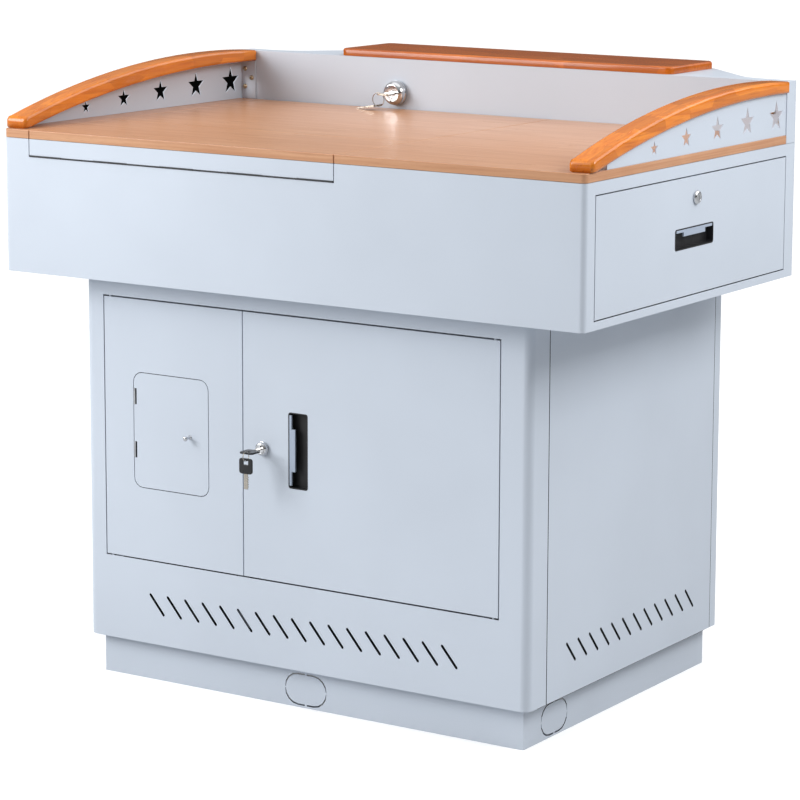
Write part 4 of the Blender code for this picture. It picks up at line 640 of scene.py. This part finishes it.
low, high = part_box("hatch_knob")
knob_place = Vector(((low.x + high.x) / 2, low.y + KNOB_OUT, (low.z + high.z) / 2))
knob_profile = [
    (0, KNOB_OUT),
    (0.0018, 0.01495),
    (0.0031, 0.0144),
    (0.0040, 0.0133),
    (0.0042, 0.0121),
    (0.0041, 0.0111),
    (0.0034, 0.0100),
    (0.0026, 0.0088),
    (0.0023, 0.0070),
    (0.0023, 0.0030),
    (0.0027, 0.0016),
    (0.0037, 0.0009),
    (0.0038, 0.0003),
    (0.0015, 0.0003),
    (0.0015, -0.0018),
    (0.0037, -0.0018),
    (0.0037, -0.0042),
    (0, -0.0043),
]
made(
    "hatch_knob_turned",
    spun(knob_profile, knob_place, (0, -1, 0), 40),
    CHROME,
    "hatch",
    ("hatch_knob",),
    corner=50,
)


# ---- keys and rings ----


def notches(bm, places, size, turn_axis):
    """Cuts square-cornered teeth into a key's blade."""
    cutters = []
    for place in places:
        cutter = bmesh.new()
        matrix = Matrix.Translation(place) @ Matrix.Rotation(math.radians(45), 4, turn_axis)
        bmesh.ops.create_cube(cutter, size=size, matrix=matrix)
        cutters.append(cutter)
    return carved(bm, joined(*cutters))


low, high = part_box("door_key")
neck = low.y + KEY_HEAD
head = kept_side(copied("door_key"), (0, neck, 0), (0, 1, 0))
blade = kept_side(copied("door_key"), (0, neck, 0), (0, -1, 0))
made("door_key_head", head, KEY_BLACK, "door_lock", ("door_key",), 0.0006, 3)
made("door_key_blade", blade, NICKEL, "door_lock", (), 0.0002)

low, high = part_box("door_spare_key")
neck = high.z - KEY_HEAD
head = kept_side(copied("door_spare_key"), (0, 0, neck), (0, 0, -1))
blade = kept_side(copied("door_spare_key"), (0, 0, neck), (0, 0, 1))
edge_x = (low.x + high.x) / 2 + 0.0035
middle_y = (low.y + high.y) / 2
teeth = [(edge_x, middle_y, low.z + 0.004 + 0.0038 * i) for i in range(5)]
blade = notches(blade, teeth, 0.0021, "Y")
made("door_spare_key_head", head, KEY_BLACK, "door_spare_key", ("door_spare_key",), 0.0006, 3)
made("door_spare_key_blade", blade, NICKEL, "door_spare_key", (), 0.00015)

made("rear_key_polished", copied("rear_key"), NICKEL, "rear_lock", ("rear_key",), 0.0005, 3)


def split_ring(centre, radius, axis):
    """A split ring: two turns of wire side by side."""
    turns = []
    for offset in (-WIRE, WIRE):
        bm = bmesh.new()
        place = Matrix.Translation((radius, 0, offset)) @ Matrix.Rotation(math.pi / 2, 4, "X")
        bmesh.ops.create_circle(bm, segments=10, radius=WIRE, matrix=place)
        bmesh.ops.spin(
            bm,
            geom=bm.verts[:] + bm.edges[:],
            cent=(0, 0, 0),
            axis=(0, 0, 1),
            angle=math.tau,
            steps=56,
            use_merge=True,
        )
        turn = Vector(axis).to_track_quat("Z", "Y").to_matrix().to_4x4()
        bmesh.ops.transform(bm, matrix=Matrix.Translation(centre) @ turn, verts=bm.verts)
        turns.append(closed_up(bm))
    return joined(*turns)


low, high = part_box("door_key_ring")
ring = split_ring((low + high) / 2, (high.z - low.z) / 2 - 2 * WIRE, (1, 0, 0))
made("door_key_ring_wound", ring, NICKEL, "door_key_ring", ("door_key_ring",), corner=60)
ring = copied("rear_key_ring")
made("rear_key_ring_finished", ring, NICKEL, "rear_key_ring", ("rear_key_ring",), 0.0002)


# ---- dome screws of the cheeks ----


def dome_screw(place):
    """A button-head screw with a round socket, its head towards the speaker."""
    profile = [
        (0, SCREW_T * 0.45),
        (0.0013, SCREW_T * 0.45),
        (0.0014, SCREW_T * 0.97),
        (0.0022, SCREW_T * 0.95),
        (0.0033, SCREW_T * 0.76),
        (0.0041, SCREW_T * 0.46),
        (SCREW_R, SCREW_T * 0.12),
        (SCREW_R, 0),
        (SHANK_R, 0),
        (SHANK_R, -0.0030),
        (0, -0.0030),
    ]
    return spun(profile, place, (0, -1, 0), 24)


for side, sign in (("right", 1), ("left", -1)):
    node = "cheek_bolts_" + side
    low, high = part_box(node)
    edge = sign * (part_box("box_shell")[1].x)
    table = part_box("tabletop_right")[1].z
    shapes = []
    for inward, rise in ((0.0105, 0.022), (0.0105, 0.054), (0.0250, 0.038)):
        shapes.append(dome_screw((edge - sign * inward, low.y + SCREW_T, table + rise)))
    strap = bar((low.x, high.y - 0.002, low.z), (high.x, high.y, high.z))
    shapes.append(strap)
    made(node + "_domed", joined(*shapes), SCREWS, "root", (node,), corner=35)


# ---- camera, floor and light ----

scene = bpy.context.scene
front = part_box("box_shell")[0].y
AZIMUTH = math.radians(31.785)
ELEVATION = math.radians(9.537)
ROLL = math.radians(0.424)
eye = Vector((2.753, front - 3.8443, 1.441))
ahead = Vector(
    (-math.sin(AZIMUTH) * math.cos(ELEVATION), math.cos(AZIMUTH) * math.cos(ELEVATION), -math.sin(ELEVATION))
)
right = ahead.cross(Vector((0, 0, 1))).normalized()
up = right.cross(ahead)
right, up = (
    math.cos(ROLL) * right + math.sin(ROLL) * up,
    -math.sin(ROLL) * right + math.cos(ROLL) * up,
)
camera_data = bpy.data.cameras.new("camera")
camera_data.lens = 138.0
camera_data.sensor_width = 36.0
camera_data.shift_x = -0.1
camera_data.shift_y = -0.1
camera_data.clip_end = 200.0
camera = bpy.data.objects.new("camera", camera_data)
turn = Matrix((right, up, -ahead)).transposed().to_4x4()
camera.matrix_world = Matrix.Translation(eye) @ turn
scene.collection.objects.link(camera)
scene.camera = camera

bm = bmesh.new()
bmesh.ops.create_grid(bm, x_segments=8, y_segments=8, size=40)
bmesh.ops.translate(bm, vec=(0, 0, -0.0002), verts=bm.verts)
floor_mesh = bpy.data.meshes.new("floor")
bm.to_mesh(floor_mesh)
bm.free()
floor_mesh.materials.append(FLOOR)
floor = bpy.data.objects.new("floor", floor_mesh)
bpy.context.scene.collection.objects.link(floor)


def floor_under(y, z):
    """Where the sight line past a point of the left cheek meets the floor."""
    point = Vector((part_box("cheek_left")[0].x, y, z))
    return eye + (point - eye) * ((eye.z - CARD_RISE) / (eye.z - point.z))


# A dark card on the studio floor, far behind the desk, gives the left cheek's stars their dark ground.
cheek_low, cheek_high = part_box("cheek_left")
bm = bmesh.new()
corners = (
    (cheek_low.y + 0.025, cheek_low.z - 0.008),
    (cheek_high.y, cheek_low.z - 0.008),
    (cheek_high.y, cheek_high.z + 0.004),
    (cheek_low.y + 0.025, cheek_low.z + 0.025),
)
bm.faces.new([bm.verts.new(floor_under(*corner)) for corner in corners])
bmesh.ops.recalc_face_normals(bm, faces=bm.faces)
card_mesh = bpy.data.meshes.new("dark_card")
bm.to_mesh(card_mesh)
bm.free()
card_mesh.materials.append(CARD_BLACK)
card = bpy.data.objects.new("dark_card", card_mesh)
bpy.context.scene.collection.objects.link(card)


def softbox(name, place, target, size, power):
    light = bpy.data.lights.new(name, "AREA")
    light.shape = "RECTANGLE"
    light.size = size[0]
    light.size_y = size[1]
    light.energy = power
    obj = bpy.data.objects.new(name, light)
    bpy.context.scene.collection.objects.link(obj)
    aim = Vector(target) - Vector(place)
    obj.matrix_world = Matrix.Translation(place) @ aim.to_track_quat("-Z", "Y").to_matrix().to_4x4()
    return obj


softbox("key_softbox", (-2.0, -2.3, 1.8), (-0.35, -0.3, 0.65), (1.5, 1.6), 66)
softbox("right_softbox", (1.9, 0.05, 1.95), (0.40, 0.15, 0.85), (1.0, 0.8), 22)


def wide_sun(name, azimuth, elevation, strength, spread):
    """Soft directional light from an azimuth (0 is the speaker's side, 90 the right) and an elevation."""
    light = bpy.data.lights.new(name, "SUN")
    light.energy = strength
    light.angle = math.radians(spread)
    obj = bpy.data.objects.new(name, light)
    bpy.context.scene.collection.objects.link(obj)
    turn, lift = math.radians(azimuth), math.radians(elevation)
    source = Vector((math.sin(turn) * math.cos(lift), -math.cos(turn) * math.cos(lift), math.sin(lift)))
    obj.matrix_world = (-source).to_track_quat("-Z", "Y").to_matrix().to_4x4()
    return obj


wide_sun("front_light", -44, 30, 0.82, 45)
wide_sun("side_light", 142, 36, 1.15, 45)
wide_sun("top_light", 0, 88, 0.85, 70)

world = bpy.data.worlds.new("studio")
bpy.context.scene.world = world
world.use_nodes = True
sky = world.node_tree
backdrop = sky.nodes["Background"]
backdrop.inputs["Color"].default_value = (1.0, 1.0, 1.0, 1)
backdrop.inputs["Strength"].default_value = 1.0
ambient = sky.nodes.new("ShaderNodeBackground")
ambient.inputs["Color"].default_value = (1.0, 1.0, 1.0, 1)
direction = sky.nodes.new("ShaderNodeTexCoord")
parts = sky.nodes.new("ShaderNodeSeparateXYZ")
rise = sky.nodes.new("ShaderNodeMapRange")
rise.inputs["From Min"].default_value = 0.10
rise.inputs["From Max"].default_value = 0.60
rise.inputs["To Min"].default_value = 0.07
rise.inputs["To Max"].default_value = 0.50
sky.links.new(direction.outputs["Generated"], parts.inputs["Vector"])
sky.links.new(parts.outputs["Z"], rise.inputs["Value"])
sky.links.new(rise.outputs["Result"], ambient.inputs["Strength"])
chosen = sky.nodes.new("ShaderNodeMixShader")
seen = sky.nodes.new("ShaderNodeLightPath")
sky.links.new(seen.outputs["Is Camera Ray"], chosen.inputs["Fac"])
sky.links.new(ambient.outputs["Background"], chosen.inputs[1])
sky.links.new(backdrop.outputs["Background"], chosen.inputs[2])
sky.links.new(chosen.outputs["Shader"], sky.nodes["World Output"].inputs["Surface"])

scene.view_settings.view_transform = "Standard"
